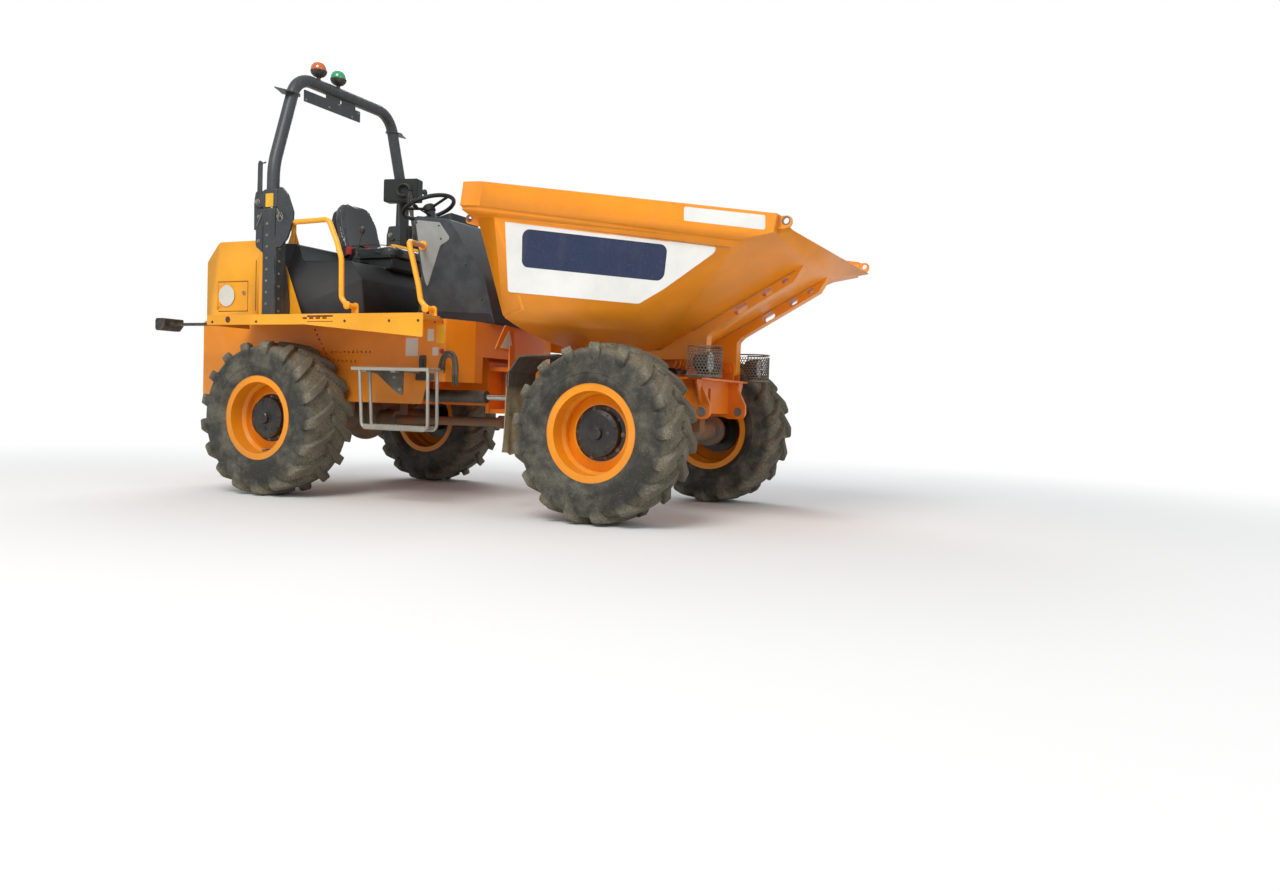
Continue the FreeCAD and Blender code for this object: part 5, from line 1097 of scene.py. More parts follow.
def hoop_foot(form, side):
    """What folds at a post's head: the box over it, the ears at the hinge and the latch lever."""
    view = side_view(side, 0)
    face = outline([(POST_REAR, 1.966), (-1.4425, 1.966), (-1.4425, 2.045, 0.01), (-1.456, 2.090, 0.02),
                    (POST_REAR, 2.090, 0.02)])
    slab(form, face, 0.7485, POST_OUT, view, 0.0015)
    slab(form, face, POST_IN, 0.6695, view, 0)
    slab(form, outline([(POST_REAR, 2.062), (-1.458, 2.062), (-1.458, 2.086, 0.006),
                        (POST_REAR, 2.086, 0.006)]), 0.662, 0.756, view, 0)
    slab(form, box_outline(0.094, 0.118, 0.004), 0, 0.007,
         end_view(-1.465, 1) @ moved(side * 0.709, 2.025, 0))
    ear = outline([(HINGE_X - 0.046, 1.964, 0.044), (HINGE_X + 0.046, 1.976, 0.03), (-1.560, 2.040, 0.02),
                   (-1.560, 2.084), (HINGE_X - 0.020, 2.084, 0.02)], 8)
    for low in (0.673, 0.731):
        slab(form, ear, low, low + 0.014, view, 0.002)
    lever = outline([(-1.640, 2.070), (-1.598, 2.070), (-1.598, 2.285, 0.012), (-1.626, 2.300, 0.012),
                     (-1.636, 2.270, 0.012)])
    slab(form, lever, 0.742, 0.750, view, 0.001)
    pipe(form, [(-1.624, side * 0.746, 2.282), (-1.585, side * 0.752, 2.268),
                (-1.556, side * 0.757, 2.276)], 0.0055)


def hoop():
    """The bent tube with its board, straps, blades and feet, as one piece."""
    form = bmesh.new()
    path = outline([(-0.709, 2.080), (-0.706, 2.270, 0.60), (-0.505, HOOP_TOP, 0.185),
                    (0.505, HOOP_TOP, 0.185), (0.706, 2.270, 0.60), (0.709, 2.080)], 14)
    pipe(form, [(HOOP_X, y, z) for y, z in path], HOOP_RADIUS, False, 20)
    # dark board under the top bar, its two straps, and the pointed blades across the upper corners
    slab(form, outline([(-0.452, 2.776, 0.004), (0.136, 2.776, 0.004), (0.136, 2.858, 0.004),
                        (-0.452, 2.858, 0.004)]), 0.0, 0.006, end_view(HOOP_X + 0.016, 1), 0.001)
    for y in (-0.150, 0.015):
        slab(form, box_outline(0.15, 0.070, 0.004), 0.0, 0.006,
             end_view(HOOP_X + 0.010, 1) @ moved(y, 2.875, 0), 0.001)
    blade = [(-0.130, 0.0), (-0.066, -0.026), (0.0, -0.060), (0.070, -0.046), (0.105, -0.012), (0.105, 0.012),
             (0.070, 0.046), (0.0, 0.060), (-0.066, 0.026)]
    for side in SIDES:
        slab(form, [(HOOP_X + b, side * (0.585 - a)) for a, b in blade], 2.797, 2.805)
    feet = bmesh.new()
    for side in SIDES:
        hoop_foot(feet, side)
    form.from_mesh(as_mesh("hoop_feet", feet))
    piece = finished("folding_hoop", form, "roll_bar", "roll_bar", 40)
    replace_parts(piece, "rops_hoop")


def posts_and_hinges():
    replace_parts(both(posts, "roll_bar_posts", "roll_bar", "rear_frame"), "rops_posts")
    both(post_braces, "post_braces", "yellow", "rear_frame")
    both(post_backs, "post_backs", "black", "rear_frame")
    hoop()
    spots = [((HOOP_X, side * POST_OUT, 1.30 + 0.079 * k), (0, side, 0), 0.0095)
             for side in SIDES for k in range(8)]
    spots += [((POST_FRONT, side * 0.718, 1.25 + 0.086 * k), (1, 0, 0), 0.0095)
              for side in SIDES for k in range(7)]
    spots += [((-1.612, side * 0.756, z), (0, side, 0), 0.014) for side in SIDES for z in (1.735, 1.905)]
    spots += [((-1.436, side * 0.754, 1.90), (0, side, 0), 0.012) for side in SIDES]
    fastened("post_bolts", spots, "zinc", "rear_frame", seed=11)

    def lock_pin(form, side):
        pipe(form, [(-1.400, side * 0.690, 1.915), (-1.400, side * 0.785, 1.915)], 0.008, False, 10)
        turns = [2 * pi * k / 12 for k in range(13)]
        ring = [(-1.400 + 0.024 * cos(a), side * 0.772, 1.890 + 0.030 * sin(a)) for a in turns]
        pipe(form, ring, 0.0022)
        pipe(form, [(-1.424, side * 0.776, 1.945), (-1.372, side * 0.776, 1.872)], 0.0028)
        pipe(form, [(-1.628, side * 0.760, 1.840), (-1.588, side * 0.762, 1.905),
                    (-1.578, side * 0.762, 1.930)], 0.0028)
    both(lock_pin, "lock_pins", "zinc", "rear_frame")
    label = [(-1.551, 1.968, 0.004), (-1.480, 1.968, 0.004), (-1.480, 2.060, 0.004), (-1.551, 2.060, 0.004)]
    both(lambda form, side: slab(form, outline(label, 2), -0.0003, 0.0008, side_view(side, POST_OUT)),
         "hoop_labels", "label_yellow", "roll_bar")
    spots = [((HINGE_X, side * y, HINGE_Z), (0, side * way, 0), 0.021)
             for side in SIDES for y, way in ((0.745, 1), (0.673, -1))]
    spots += [((HOOP_X + 0.022, y, z), (1, 0, 0), 0.0085)
              for y, z in ((-0.435, 2.790), (-0.20, 2.800), (0.045, 2.795), (0.115, 2.84), (-0.10, 2.845))]
    fastened("hoop_bolts", spots, "zinc", "roll_bar", seed=12)


def warning_lights():
    """Two beacons on the top bar: dark cups, an amber lens and a green one."""
    foot = HOOP_TOP + HOOP_RADIUS - 0.002
    caps, lenses = bmesh.new(), {}
    for tag, y in (("amber", -0.290), ("green", -0.085)):
        place = moved(HOOP_X, y, foot)
        lathe(caps, [(0.0, -0.006), (0.014, -0.006), (0.014, 0.012), (0.020, 0.018), (0.038, 0.026),
                     (0.052, 0.040), (0.058, 0.054), (0.0595, 0.064), (0.056, 0.066),
                     (0.0, 0.066)], place, 48)
        form = bmesh.new()
        lathe(form, [(0.0, 0.062), (0.0565, 0.062), (0.0575, 0.072), (0.0565, 0.084), (0.0525, 0.097),
                     (0.0450, 0.110), (0.0340, 0.1195), (0.0190, 0.1265), (0.0, 0.1290)], place, 48)
        lenses[tag] = form
    base = finished("beacon_cups", caps, "black", "roll_bar", 40)
    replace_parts(base, "beacons")
    for tag, form in lenses.items():
        finished("beacon_lens_" + tag, form, tag + "_lens", "roll_bar", 50)


def far_box():
    """Closed black switch box on the far side of the seat, with its looped cables."""
    form = bmesh.new()
    place = at((-1.425, 0.560, 2.335), (0.2, -1, 0), (0, 0, 1))
    slab(form, box_outline(0.300, 0.180, 0.012), -0.045, 0.045, place, 0.006)
    slab(form, box_outline(0.060, 0.44, 0.008), -0.020, 0.0,
         at((-1.445, 0.600, 2.13), (0.2, -1, 0), (0, 0, 1)), 0.002)
    finished("switch_box", form, "box_black", "rear_frame")
    form = bmesh.new()
    face = place @ moved(0.02, 0, 0.055)
    for k, radius in enumerate((0.062, 0.052, 0.058)):
        ring = []
        for i in range(12):
            a = 2 * pi * i / 14
            lift = 0.010 * k + 0.006 * sin(2 * a)
            ring.append(face @ Vector((radius * cos(a) + 0.02, 0.8 * radius * sin(a) - 0.005, lift)))
        pipe(form, ring, 0.0055)
    for k in range(3):
        start = face @ Vector((0.06 + 0.012 * k, -0.02, 0.01 * k))
        pipe(form, [start, (-1.33 + 0.03 * k, 0.50, 2.24), (-1.27 + 0.02 * k, 0.48 - 0.02 * k, 2.10),
                    (-1.24 + 0.015 * k, 0.47, 1.95), (-1.26, 0.45 + 0.01 * k, 1.80), (-1.31, 0.44, 1.66),
                    (-1.33, 0.43 + 0.01 * k, 1.60)], 0.0065)
    finished("box_cables", form, "hose", "rear_frame")


posts_and_hinges()
warning_lights()
far_box()


# Engine cover and tail
COVER_SIDE, TAIL = 0.606, -2.283
TOW_PIN_X = -2.238


def cover_details():
    """Seams, grille, blank disc and lock of the cover, the tow pin in the counterweight's jaws."""
    softened("engine_cover", "engine_cover_skin", 0.007, "yellow", "rear_frame")
    softened("counterweight", "counterweight_casting", 0.008, "casting", "rear_frame")

    def seams(form, side):
        slab(form, box_outline(0.005, 0.36), -0.0005, 0.0008,
             side_view(side, 0.600) @ moved(-1.793, 1.45, 0))
    both(seams, "cover_seams", "gap", "rear_frame")
    form = bmesh.new()
    # painted shade: black strips stand in for the shade behind the rear grille's slots
    for z in (1.50, 1.515, 1.53, 1.545, 1.56, 1.575):
        slab(form, box_outline(0.42, 0.007, 0.003), -0.0005, 0.0012, end_view(TAIL, -1) @ moved(0, z, -0.001))
    finished("rear_grille_slots", form, "gap", "rear_frame")
    form = bmesh.new()
    slab(form, disc_outline(0.078, 48), 0.0, 0.0009, side_view(-1, COVER_SIDE + 0.0002)
         @ moved(-2.076, 1.381, 0))
    finished("blank_disc_label", form, "label_white", "cover_door")
    form = bmesh.new()
    place = side_view(-1, COVER_SIDE) @ moved(-1.905, 1.400, 0)
    lathe(form, [(0.0135, 0.0), (0.0135, 0.003), (0.010, 0.005), (0.0, 0.005)], place, 24)
    slab(form, box_outline(0.003, 0.011), 0.0045, 0.0058, place)
    finished("cover_lock_face", form, "zinc", "cover_door")
    # tow pin with a bent handle through the jaws
    form = bmesh.new()
    lathe(form, [(0.0, -0.115), (0.010, -0.115), (0.0145, -0.105), (0.0145, 0.088), (0.023, 0.089),
                 (0.023, 0.099), (0.0145, 0.100), (0.0145, 0.112), (0.0, 0.113)],
          moved(TOW_PIN_X, 0, 0.740), 24)
    handle = [(0, 0.845), (0, 0.905), (0.022, 0.935), (0.062, 0.936)]
    pipe(form, [(TOW_PIN_X, y, z) for y, z in handle], 0.0075)
    finished("tow_pin", form, "zinc", "rear_frame")


BOARD_EDGE = 1.064


def side_fittings():
    """What is fixed on the front compartment's side and the running boards."""
    outer = 0.660
    near = side_view(-1, outer)

    def plate(form, x, z, wide, high):
        slab(form, box_outline(wide, high, 0.003, 2), 0.0002, 0.0011, near @ moved(x, z, 0))

    form = bmesh.new()
    for x, z, wide, high in ((-0.190, 1.090, 0.050, 0.078), (-0.339, 1.012, 0.100, 0.118),
                             (-0.150, 0.985, 0.046, 0.054)):
        plate(form, x, z, wide, high)
    finished("blank_labels_white", form, "label_white", "rear_frame")
    form = bmesh.new()
    plate(form, -0.111, 1.097, 0.066, 0.118)
    finished("blank_label_yellow", form, "label_yellow", "rear_frame")
    form = bmesh.new()
    lathe(form, [(0.017, 0.0), (0.017, 0.004), (0.012, 0.006), (0.012, 0.016), (0.0095, 0.018), (0.0, 0.018)],
          near @ moved(-0.096, 0.985, 0), 24)
    finished("battery_switch", form, "red", "rear_frame")
    form = bmesh.new()
    for side in SIDES:
        view = side_view(side, outer)
        slab(form, outline([(-0.274, 0.845, 0.006), (-0.222, 0.845, 0.006), (-0.222, 0.958, 0.012),
                            (-0.274, 0.958, 0.012)]), 0, 0.009, view, 0.002)
        slab(form, outline([(-0.300, 0.795, 0.004), (-0.155, 0.795, 0.004), (-0.155, 0.842, 0.01),
                            (-0.300, 0.842, 0.01)]), 0, 0.006, view, 0.0015)
        slab(form, box_outline(0.020, 0.030, 0.004), 0.008, 0.024, view @ moved(-0.248, 0.905, 0), 0.003)
    finished("compartment_latches", form, "black", "rear_frame")
    spots = [((x, side * (outer + 0.0002), z), (0, side, 0), size) for side in SIDES
             for x, z, size in ((-0.098, 1.172, 0.006), (-0.160, 1.172, 0.006), (-0.345, 1.168, 0.006))]
    spots += [((-0.248, side * (outer + 0.009), z), (0, side, 0), 0.009) for side in SIDES
              for z in (0.862, 0.944)]
    spots += [((x, side * BOARD_EDGE, 1.148), (0, side, 0), 0.0085) for side in SIDES
              for x in (-1.70, -1.30, -0.55, -0.20, 0.02)]
    fastened("body_bolts", spots, "black", "rear_frame", seed=21)

    form = bmesh.new()
    for lift in (0.0, 0.022):
        points = [(-0.079 - lift, -0.676, 0.868 + lift / 2), (-0.062 - lift / 2, -0.700, 0.915 + lift),
                  (-0.020, -0.715, 0.962 + lift), (0.030 + lift / 2, -0.712, 0.945 + lift),
                  (0.030 + lift, -0.700, 0.880), (0.014 + lift, -0.684, 0.800), (0.002 + lift, -0.652, 0.772),
                  (-0.030, -0.612, 0.795), (-0.060, -0.590, 0.860)]
        pipe(form, points, 0.0115, around=8)
    finished("compartment_hoses", form, "hose", "rear_frame")
    form = bmesh.new()
    for x, z in ((-0.101, 0.866), (-0.079, 0.856)):
        head = at((x, -0.661, z), (0, -1, 0.1), (0, 0, 1))
        slab(form, [(0.013 * a, 0.013 * b) for a, b in HEXAGON], 0, 0.012, head, 0.001)
        lathe(form, [(0.0105, -0.004), (0.0105, 0.016), (0.0, 0.016)],
              at((x, -0.674, z + 0.004), (0.1, -0.3, 1)), 16)
    finished("hose_fittings", form, "brass", "rear_frame")


RAIL_REACH = 0.837
BOARD_TOP = 1.1953


def handrails(form, side):
    """Two tubes a side, from the board up to the seat's box and to the console."""
    y, radius = side * RAIL_REACH, 0.0175
    stand, tip = Vector((-1.528, side * 0.512, 1.7450)), Vector((-0.562, side * 0.2803, 1.738))
    rear = [stand, (-1.528, side * 0.512, 1.902, 0.050), (-1.191, y, 1.834, 0.090), (-0.905, y, 1.838, 0.050),
            (-0.833, y, 1.692, 0.150), (-0.790, y, 1.580, 0.150), (-0.784, y, 1.320, 0.050),
            (-0.738, y, 1.272, 0.030), (-0.725, side * 0.775, 1.268)]
    front = [(-0.092, side * 0.775, 1.240), (-0.096, y, 1.248, 0.028), (-0.140, y, 1.292, 0.045),
             (-0.160, y, 1.390, 0.120), (-0.240, y, 1.655, 0.030), (-0.262, side * 0.800, 1.672, 0.025), tip]
    for path in (rear, front):
        pipe(form, rounded_path(path), radius, False, 16)
    # feet: flange and gusset on the seat's box, flange on the console, brackets on the board
    lathe(form, [(0.042, 0.0), (0.042, 0.006), (0.038, 0.008), (0.0, 0.008)], Matrix.Translation(stand), 32)
    slab(form, [(-1.580, 1.7505), (-1.478, 1.7505), (-1.516, 1.850), (-1.540, 1.850)], 0.508, 0.516,
         side_view(side, 0), 0.001)
    lathe(form, [(0.034, 0.0), (0.034, 0.008), (0.030, 0.010), (0.0, 0.010)], at(tip, (0, side, 0)), 32)
    for x, z in ((-0.725, 1.268), (-0.092, 1.240)):
        bracket = outline([(x - 0.030, BOARD_TOP), (x + 0.030, BOARD_TOP), (x + 0.026, z + 0.026, 0.026),
                           (x - 0.026, z + 0.026, 0.026)], 6)
        slab(form, bracket, 0.767, 0.775, side_view(side, 0), 0.001)
        slab(form, box_outline(0.075, 0.060, 0.006), 1.1950, 1.2005, moved(x, side * 0.771, 0), 0.001)
        lathe(form, [(0.0265, -0.004), (0.0265, 0.006), (0.022, 0.009), (0.0, 0.010)],
              at((x + 0.004, side * 0.8545, z + 0.002), (0, side, 0)), 28)


def reflector(form, side):
    lathe(form, [(0.021, -0.003), (0.021, 0.002), (0.015, 0.004), (0.0, 0.0045)],
          side_view(side, BOARD_EDGE) @ moved(-1.557, 1.163, 0), 28)


def grip_recess(form, side):
    """Dark red plates on the board's edge: painted shade in place of the hand-hold slots beside the steps."""
    for z, high, radius in ((1.180, 0.010, 0.003), (1.146, 0.004, 0.001)):
        slab(form, box_outline(0.214, high, radius), -0.0005, 0.0008,
             side_view(side, BOARD_EDGE) @ moved(-0.7535, z, 0))


def board_details():
    both(reflector, "board_reflectors", "dark_red", "rear_frame")
    both(grip_recess, "board_grip_recess", "dark_red", "rear_frame")
    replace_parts(both(handrails, "handrail_tubes", "rail", "rear_frame", 40), "handrails")
    form = bmesh.new()
    # ribbed mat on the floor between seat and console
    slab(form, box_outline(0.200, 0.96, 0.03), 0, 0.007, moved(-0.710, 0, 1.1952), 0.002)
    for k in range(11):
        slab(form, box_outline(0.006, 0.90, 0.002), 0.006, 0.010, moved(-0.795 + 0.017 * k, 0, 1.1952))
    finished("floor_mat", form, "mudguard", "rear_frame")


STUD_PITCH, TOOTH_PITCH = 0.026, 0.0185


def steps():
    """Studded treads in tube hangers, their toothed edges, gussets and bolts."""
    spots = []
    for side in SIDES:
        for x0, x1, y0, y1, z in ((-0.575, 0.005, 0.842, 0.938, 0.862),
                                  (-0.465, -0.018, 0.848, 0.936, 0.500)):
            count = int((x1 - x0) / STUD_PITCH)
            for i in range(count + 1):
                for y in (y0, (y0 + y1) / 2, y1):
                    spots.append(((x0 + (x1 - x0) * i / count, side * y, z), (0, 0, 1), 0.0085))
    fastened("tread_studs", spots, "step", "rear_frame", STUD, 31)

    def trim(form, side):
        for x0, x1, y0, y1, z0, z1 in ((-0.592, 0.022, 0.9475, 0.951, 0.846, 0.868),
                                       (-0.482, -0.003, 0.946, 0.9495, 0.474, 0.506)):
            x = x0
            while x < x1 - 0.012:
                tooth = [(x, z0), (x + TOOTH_PITCH, z0), (x + TOOTH_PITCH, z1 - 0.006), (x + 0.011, z1),
                         (x + 0.0075, z1), (x, z1 - 0.006)]
                slab(form, tooth, y0, y1, side_view(side, 0))
                x += TOOTH_PITCH
    both(trim, "tread_edges", "step", "rear_frame")

    def frames(form, side):
        """Bent tube hangers, the two treads with folded edges and their arms under the board."""
        for reach in (0.939, 0.845):
            y = side * reach
            hanger = [(-0.530, y, 0.850), (-0.505, y, 0.480, 0.040),
                      (0.014, y, 0.480, 0.040), (0.006, y, 0.850)]
            pipe(form, rounded_path(hanger), 0.0108, False, 12)
        for x0, x1, y0, y1, z0, z1 in ((-0.590, 0.020, 0.832, 0.948, 0.848, 0.862),
                                       (-0.480, -0.005, 0.834, 0.946, 0.484, 0.500)):
            slab(form, rectangle(x0, side * y0, x1, side * y1), z0, z1, bevel=0.002)
        for x in (-0.540, -0.310):
            slab(form, box_outline(0.040, 0.224, 0.003), 0.836, 0.8485, moved(x, side * 0.772, 0), 0.001)
    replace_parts(both(frames, "step_frames", "step", "rear_frame"), "steps")

    def gusset(form, side):
        corners = outline([(-0.585, 0.8475), (-0.262, 0.8475), (-0.262, 0.690, 0.015), (-0.300, 0.700, 0.02),
                           (-0.470, 0.826, 0.02)])
        slab(form, corners, 0.8345, 0.8420, side_view(side, 0), 0.001)
    both(gusset, "step_gussets", "black", "rear_frame")
    spots = [((x, side * 0.842, z), (0, side, 0), 0.011) for side in SIDES
             for x, z in ((-0.54, 0.838), (-0.33, 0.808), (-0.285, 0.73))]
    fastened("step_bolts", spots, "zinc", "rear_frame", seed=32)


def rear_lamp_case(form, side):
    """Case and its arm on the machine's tail."""
    view = side_view(side, 0)
    case = outline([(-2.271, 1.095, 0.012), (-2.215, 1.095, 0.012), (-2.180, 1.130, 0.008),
                    (-2.180, 1.180, 0.008), (-2.271, 1.180, 0.012)])
    slab(form, case, 0.890, 1.050, view, 0.004)
    slab(form, rectangle(-2.200, 1.132, -1.762, 1.149), 0.941, 0.999, view, 0.002)
    slab(form, rectangle(-1.762, 1.131, -1.7505, 1.184), 0.931, 1.009, view, 0.001)


LAMP_X, LAMP_Y = 1.630, 0.440
GUARD_RADIUS, GUARD_LOW, GUARD_HIGH = 0.1095, 0.8665, 1.0365
GUARD_TURN = radians(127)
HOLE_PITCH, HOLE_ROWS, HOLE_COLUMNS, HOLE_WALL = 0.0197, 9, 38, 0.0030


def guard_sheet(middle):
    """Sheet with six-sided holes, bent round a lamp and open to the rear."""
    outside = GUARD_RADIUS + 0.001
    size = HOLE_PITCH / sqrt(3)
    sheet = bmesh.new()
    for j in range(HOLE_ROWS):
        for i in range(-HOLE_COLUMNS // 2, HOLE_COLUMNS // 2 + 1):
            u, v = (i + 0.5 * (j % 2)) * HOLE_PITCH, (j + 0.5) * 1.5 * size
            if abs(u / outside) < 2.21:
                sheet.faces.new([sheet.verts.new((u + size * sin(t), v + size * cos(t), 0))
                                 for t in (radians(60 * k) for k in range(6))])
    bmesh.ops.remove_doubles(sheet, verts=sheet.verts, dist=1e-4)
    bmesh.ops.inset_individual(sheet, faces=sheet.faces[:], thickness=HOLE_WALL)
    hexagons = [f for f in sheet.faces if len(f.verts) == 6]
    bmesh.ops.delete(sheet, geom=hexagons, context="FACES_ONLY")
    bmesh.ops.solidify(sheet, geom=sheet.faces[:], thickness=0.0022)
    for vert in sheet.verts:
        turn, reach = vert.co.x / outside, GUARD_RADIUS + vert.co.z
        vert.co = middle + Vector((reach * cos(turn), reach * sin(turn), GUARD_LOW + 0.0015 + vert.co.y))
    return as_mesh("guard_sheet", sheet)


def headlamp_guard(form, side):
    """Holed sheet between two rolled hoops, its edge wires, floor plate and the lamp's stem."""
    middle = Vector((LAMP_X, side * LAMP_Y, 0))
    form.from_mesh(guard_sheet(middle))
    arc = [GUARD_TURN * (k / 18 - 1) for k in range(37)]
    for z in (GUARD_LOW, GUARD_HIGH):
        hoop_wire = [Vector((GUARD_RADIUS * cos(t), GUARD_RADIUS * sin(t), z)) for t in arc]
        pipe(form, [middle + point for point in hoop_wire], 0.0042)
    for t in (arc[0], arc[-1]):
        foot = middle + Vector((GUARD_RADIUS * cos(t), GUARD_RADIUS * sin(t), 0))
        pipe(form, [foot + Vector((0, 0, z)) for z in (0.862, 1.040)], 0.0042)
    floor_plate = [(0.0, 0.8583), (0.111, 0.8583), (0.111, 0.8635), (0.0, 0.8640)]
    lathe(form, floor_plate, Matrix.Translation(middle), 48)
    lathe(form, [(0.013, 0.862), (0.013, 0.890)], Matrix.Translation(middle + Vector((-0.010, 0, 0))), 20)


def lamp_place(side):
    return at((1.6705, side * LAMP_Y, 0.948), (1, 0, 0), (0, 0, 1))


def lamp_bowl(form, side):
    bowl = [(0.0, -0.098), (0.030, -0.096), (0.046, -0.084), (0.058, -0.056), (0.064, -0.020),
            (0.066, -0.006), (0.066, 0.006), (0.060, 0.009), (0.057, 0.006), (0.050, -0.004), (0.0, -0.006)]
    lathe(form, bowl, lamp_place(side), 40)
    slab(form, box_outline(0.040, 0.050, 0.006), 0.876, 0.900, moved(1.622, side * LAMP_Y, 0), 0.002)


def lamp_glass(form, side):
    glass = [(0.0, -0.001), (0.058, 0.000), (0.058, 0.005), (0.045, 0.0085), (0.025, 0.0105), (0.0, 0.011)]
    lathe(form, glass, lamp_place(side), 40)


def lamps():
    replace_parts(both(rear_lamp_case, "lamp_cases", "black", "rear_frame"), "rear_lamps")
    for tag, low, high in (("red_lens", 0.898, 0.944), ("amber_lens", 0.948, 0.994),
                           ("clear_lens", 0.998, 1.042)):
        both(lambda form, side: slab(form, box_outline(high - low, 0.070, 0.006), 0, 0.0115,
                                     end_view(-2.2705, -1) @ moved(side * (low + high) / 2, 1.1375, 0),
                                     0.003), "rear_lamp_" + tag, tag, "rear_frame")
    guards = both(headlamp_guard, "headlamp_guards", "guard", "front_frame", 40)
    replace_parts(guards, "headlamps")
    both(lamp_bowl, "headlamp_bowls", "black", "front_frame")
    both(lamp_glass, "headlamp_glass", "clear_lens", "front_frame")


HOOD_IN, HOOD_OUT = 0.480, 0.790
FLAP_TOP, FLAP_THICK = 0.800, 0.005
FLAP_COLUMNS, FLAP_ROWS = 22, 26


def flap_point(side, back, u, v):
    """A point of the hanging flap, u outward and v down: its lower edge is worn away inside and curls."""
    low = 0.352 + 0.205 * max(0.0, 1 - u / 0.75) ** 1.4 + 0.012 * sin(9 * u + side)
    curl = v ** 2.5 * (0.022 * sin(5.5 * u + 1.3 * side) + 0.016 * sin(13 * u + 2 * v))
    ripple = 0.004 * sin(24 * u) * v
    y = side * (HOOD_IN + (HOOD_OUT - HOOD_IN) * u)
    return 0.489 - back + curl - 0.010 * v + ripple, y, FLAP_TOP - (FLAP_TOP - low) * v


def hanging_flap(form, side):
    """Two faces one thickness apart, closed all round."""
    front, behind = [[[form.verts.new(flap_point(side, back, i / FLAP_COLUMNS, j / FLAP_ROWS))
                       for i in range(FLAP_COLUMNS + 1)] for j in range(FLAP_ROWS + 1)]
                     for back in (0, FLAP_THICK)]
    for grid, way in ((front, 1), (behind, -1)):
        for j in range(FLAP_ROWS):
            for i in range(FLAP_COLUMNS):
                form.faces.new([grid[j][i], grid[j][i + 1], grid[j + 1][i + 1], grid[j + 1][i]][::way])
    rim = [(0, i) for i in range(FLAP_COLUMNS)] + [(j, FLAP_COLUMNS) for j in range(FLAP_ROWS)]
    rim += [(FLAP_ROWS - j, FLAP_COLUMNS - i) for j, i in rim]
    for (a, b), (c, d) in zip(rim, rim[1:] + rim[:1]):
        form.faces.new((front[a][b], behind[a][b], behind[c][d], front[c][d]))


def mudguard_hood(form, side):
    """Rubber hood behind the front wheel, its turned edge and the bracket to the frame."""
    view = side_view(side, 0)
    hood = outline([(0.492, 0.770), (0.492, 0.860, 0.020), (0.570, 0.958, 0.030), (0.830, 0.968),
                    (0.830, 0.960), (0.574, 0.950, 0.024), (0.500, 0.857, 0.014), (0.500, 0.770)], 6)
    slab(form, hood, HOOD_IN, HOOD_OUT, view)
    slab(form, rectangle(0.480, 0.772, 0.487, 0.840), HOOD_IN, HOOD_OUT, view, 0.001)
    slab(form, rectangle(0.620, 0.860, 0.680, 0.880), 0.3303, 0.510, view, 0.001)
    slab(form, rectangle(0.620, 0.862, 0.680, 0.955), 0.4985, 0.510, view, 0.001)


def mudguards():
    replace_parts(both(mudguard_hood, "mudguard_hoods", "mudguard", "front_frame"), "mudguards")
    both(hanging_flap, "hanging_flaps", "flap", "front_frame", 50)
    spots = [((0.480, side * y, 0.806), (-1, 0, 0), 0.011)
             for side in SIDES for y in (0.515, 0.590, 0.680, 0.755)]
    fastened("flap_bolts", spots, "zinc", "front_frame", seed=41)


FRAME_SIDE, FRONT_PLATE = 0.330, 0.336


def frame_welds(form, side):
    for x in (0.480, 1.545):
        pipe(form, [(x, side * (FRAME_SIDE + 0.0015), z) for z in (0.66, 0.86)], 0.0035)


def corner_label(form, side):
    mark = outline([(0.548, 1.128, 0.003), (0.642, 1.012, 0.003), (0.496, 1.006, 0.003)], 2)
    slab(form, [(side * y, z) for y, z in mark], -0.0003, 0.0012, end_view(FRONT_PLATE, 1))


def nose_bushes(form, side):
    """Bush rings on both faces of the nose plate."""
    bush = [(0.031, 0.0), (0.031, 0.004), (0.027, 0.006), (0.021, 0.006), (0.019, 0.003), (0.0, 0.003)]
    for y, way in ((0.3385, side), (0.3015, -side)):
        lathe(form, bush, at((1.588, side * y, 0.655), (0, way, 0)), 36)


def chassis_details():
    both(frame_welds, "front_frame_welds", "weld", "front_frame")
    both(corner_label, "corner_labels", "label_white", "front_frame")
    both(nose_bushes, "nose_bushes", "pin_steel", "front_frame")


cover_details()
side_fittings()
board_details()
steps()
lamps()
mudguards()
chassis_details()


# Camera, light and floor
CAMERA_AT = Vector((3.8785, -6.0193, 0.6875))
YAW, PITCH, ROLL = 0.4429, -0.041, 0.0324
PHOTO_WIDTH, FOCAL_PIXELS = 1280, 1012.14


def add_camera():
    look = Vector((-sin(YAW) * cos(PITCH), cos(YAW) * cos(PITCH), sin(PITCH)))
    level = Vector((cos(YAW), sin(YAW), 0))
    upright = level.cross(look)
    right = cos(ROLL) * level + sin(ROLL) * upright
    up = -sin(ROLL) * level + cos(ROLL) * upright
    lens = bpy.data.cameras.new("camera")
    lens.sensor_width = 36
    lens.lens = FOCAL_PIXELS / PHOTO_WIDTH * lens.sensor_width
    camera = bpy.data.objects.new("camera", lens)
    turn = Matrix((right, up, -look)).transposed()
    camera.matrix_world = Matrix.Translation(CAMERA_AT) @ turn.to_4x4()
    SCENE.collection.objects.link(camera)
    SCENE.camera = camera


def add_light(name, place, aim, size, power, tint=(1.0, 1.0, 1.0)):
    lamp = bpy.data.lights.new(name, "AREA")
    lamp.shape, lamp.size, lamp.energy, lamp.color = "DISK", size, power, tint
    holder = bpy.data.objects.new(name, lamp)
    holder.location = place
    holder.rotation_euler = (Vector(aim) - Vector(place)).to_track_quat("-Z", "Y").to_euler()
    SCENE.collection.objects.link(holder)


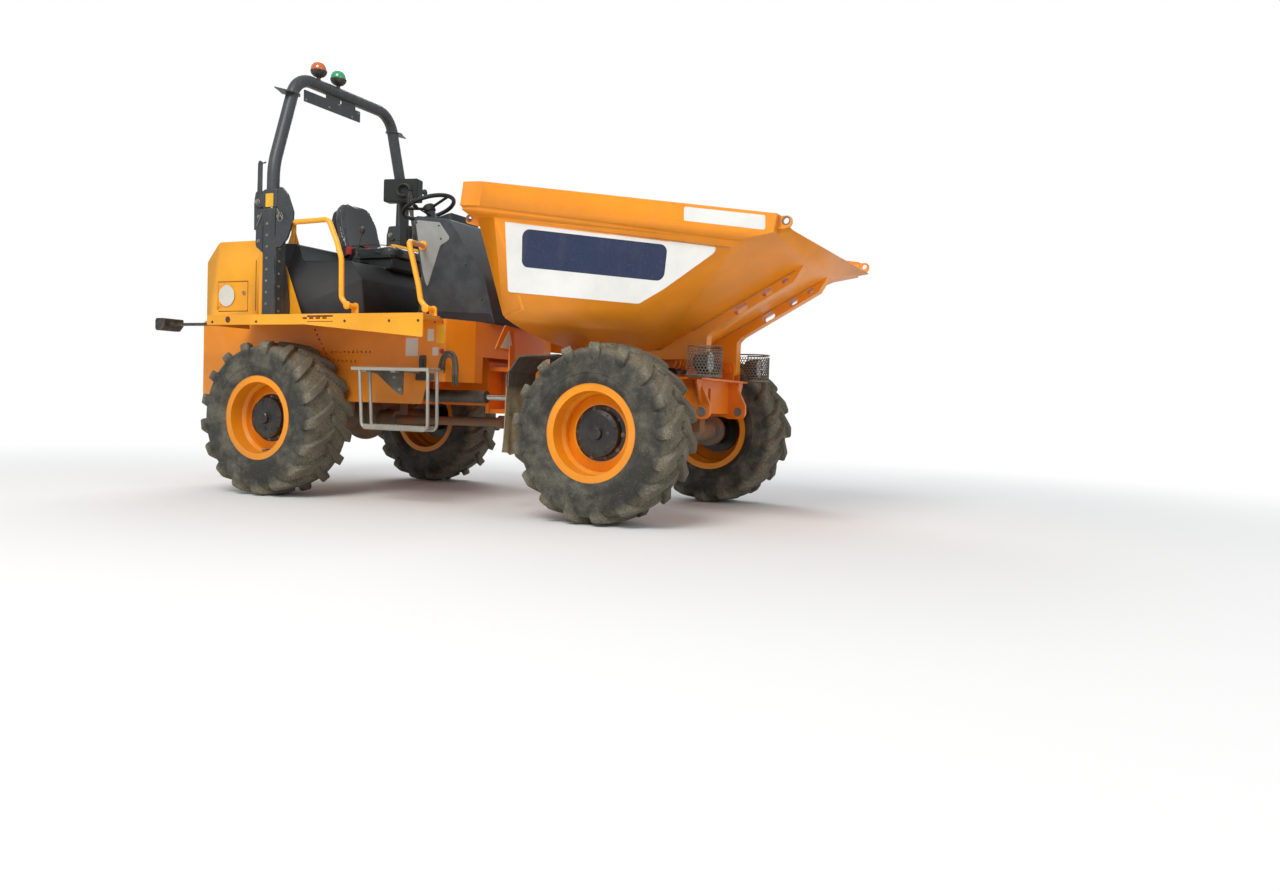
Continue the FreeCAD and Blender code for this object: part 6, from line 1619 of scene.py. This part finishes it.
def show_white_to_camera(net, shader, white, share=1.0):
    """Seen straight, in gloss or through glass it is plain white; as light it is the shader."""
    path = net.add("ShaderNodeLightPath")
    gloss = net.math("MULTIPLY", path.outputs["Is Glossy Ray"], 0.3)
    seen = net.math("MAXIMUM", path.outputs["Is Camera Ray"], gloss)
    seen = net.math("MAXIMUM", seen, path.outputs["Is Transmission Ray"])
    seen = net.math("MULTIPLY", seen, share)
    return net.add("ShaderNodeMixShader", {0: seen, 1: shader, 2: white}).outputs[0]


def add_world():
    world = bpy.data.worlds.new("studio")
    world.use_nodes = True
    net = Net(world.node_tree)
    light = net.add("ShaderNodeBackground", {0: paint("E9EEF4"), 1: 0.62}).outputs[0]
    white = net.add("ShaderNodeBackground", {0: (1, 1, 1, 1), 1: 1.0}).outputs[0]
    out = world.node_tree.nodes["World Output"]
    world.node_tree.links.new(show_white_to_camera(net, light, white), out.inputs[0])
    SCENE.world = world


def add_floor():
    """Pale floor that keeps the shadow near the machine and fades to white farther out."""
    form = bmesh.new()
    bmesh.ops.create_grid(form, x_segments=1, y_segments=1, size=200)
    floor = bpy.data.objects.new("floor", as_mesh("floor", form))
    SCENE.collection.objects.link(floor)
    material = bpy.data.materials.new("floor")
    material.use_nodes = True
    net = Net(material.node_tree)
    principled = material.node_tree.nodes["Principled BSDF"]
    principled.inputs["Base Color"].default_value = (0.80, 0.80, 0.79, 1)
    principled.inputs["Roughness"].default_value = 0.9
    place = net.add("ShaderNodeTexCoord").outputs["Object"]
    away = net.add("ShaderNodeVectorMath", {0: place}, operation="LENGTH").outputs["Value"]
    white = net.add("ShaderNodeEmission", {0: (1, 1, 1, 1), 1: 1.0}).outputs[0]
    faded = show_white_to_camera(net, principled.outputs[0], white, net.spread(away, 3.0, 8.0))
    material.node_tree.links.new(faded, material.node_tree.nodes["Material Output"].inputs[0])
    floor.data.materials.append(material)
    floor.location.z = -0.001


SCENE.view_settings.view_transform = "Standard"
add_camera()
add_world()
add_floor()
add_light("key", (1.5, -8.5, 9.0), (0, 0, 1.0), 6.0, 900, (1.0, 0.97, 0.93))
add_light("side", (10.0, -3.0, 5.0), (0.5, 0, 1.0), 6.0, 110)
add_light("back", (-6.0, 8.0, 7.0), (0, 0, 1.2), 7.0, 520)
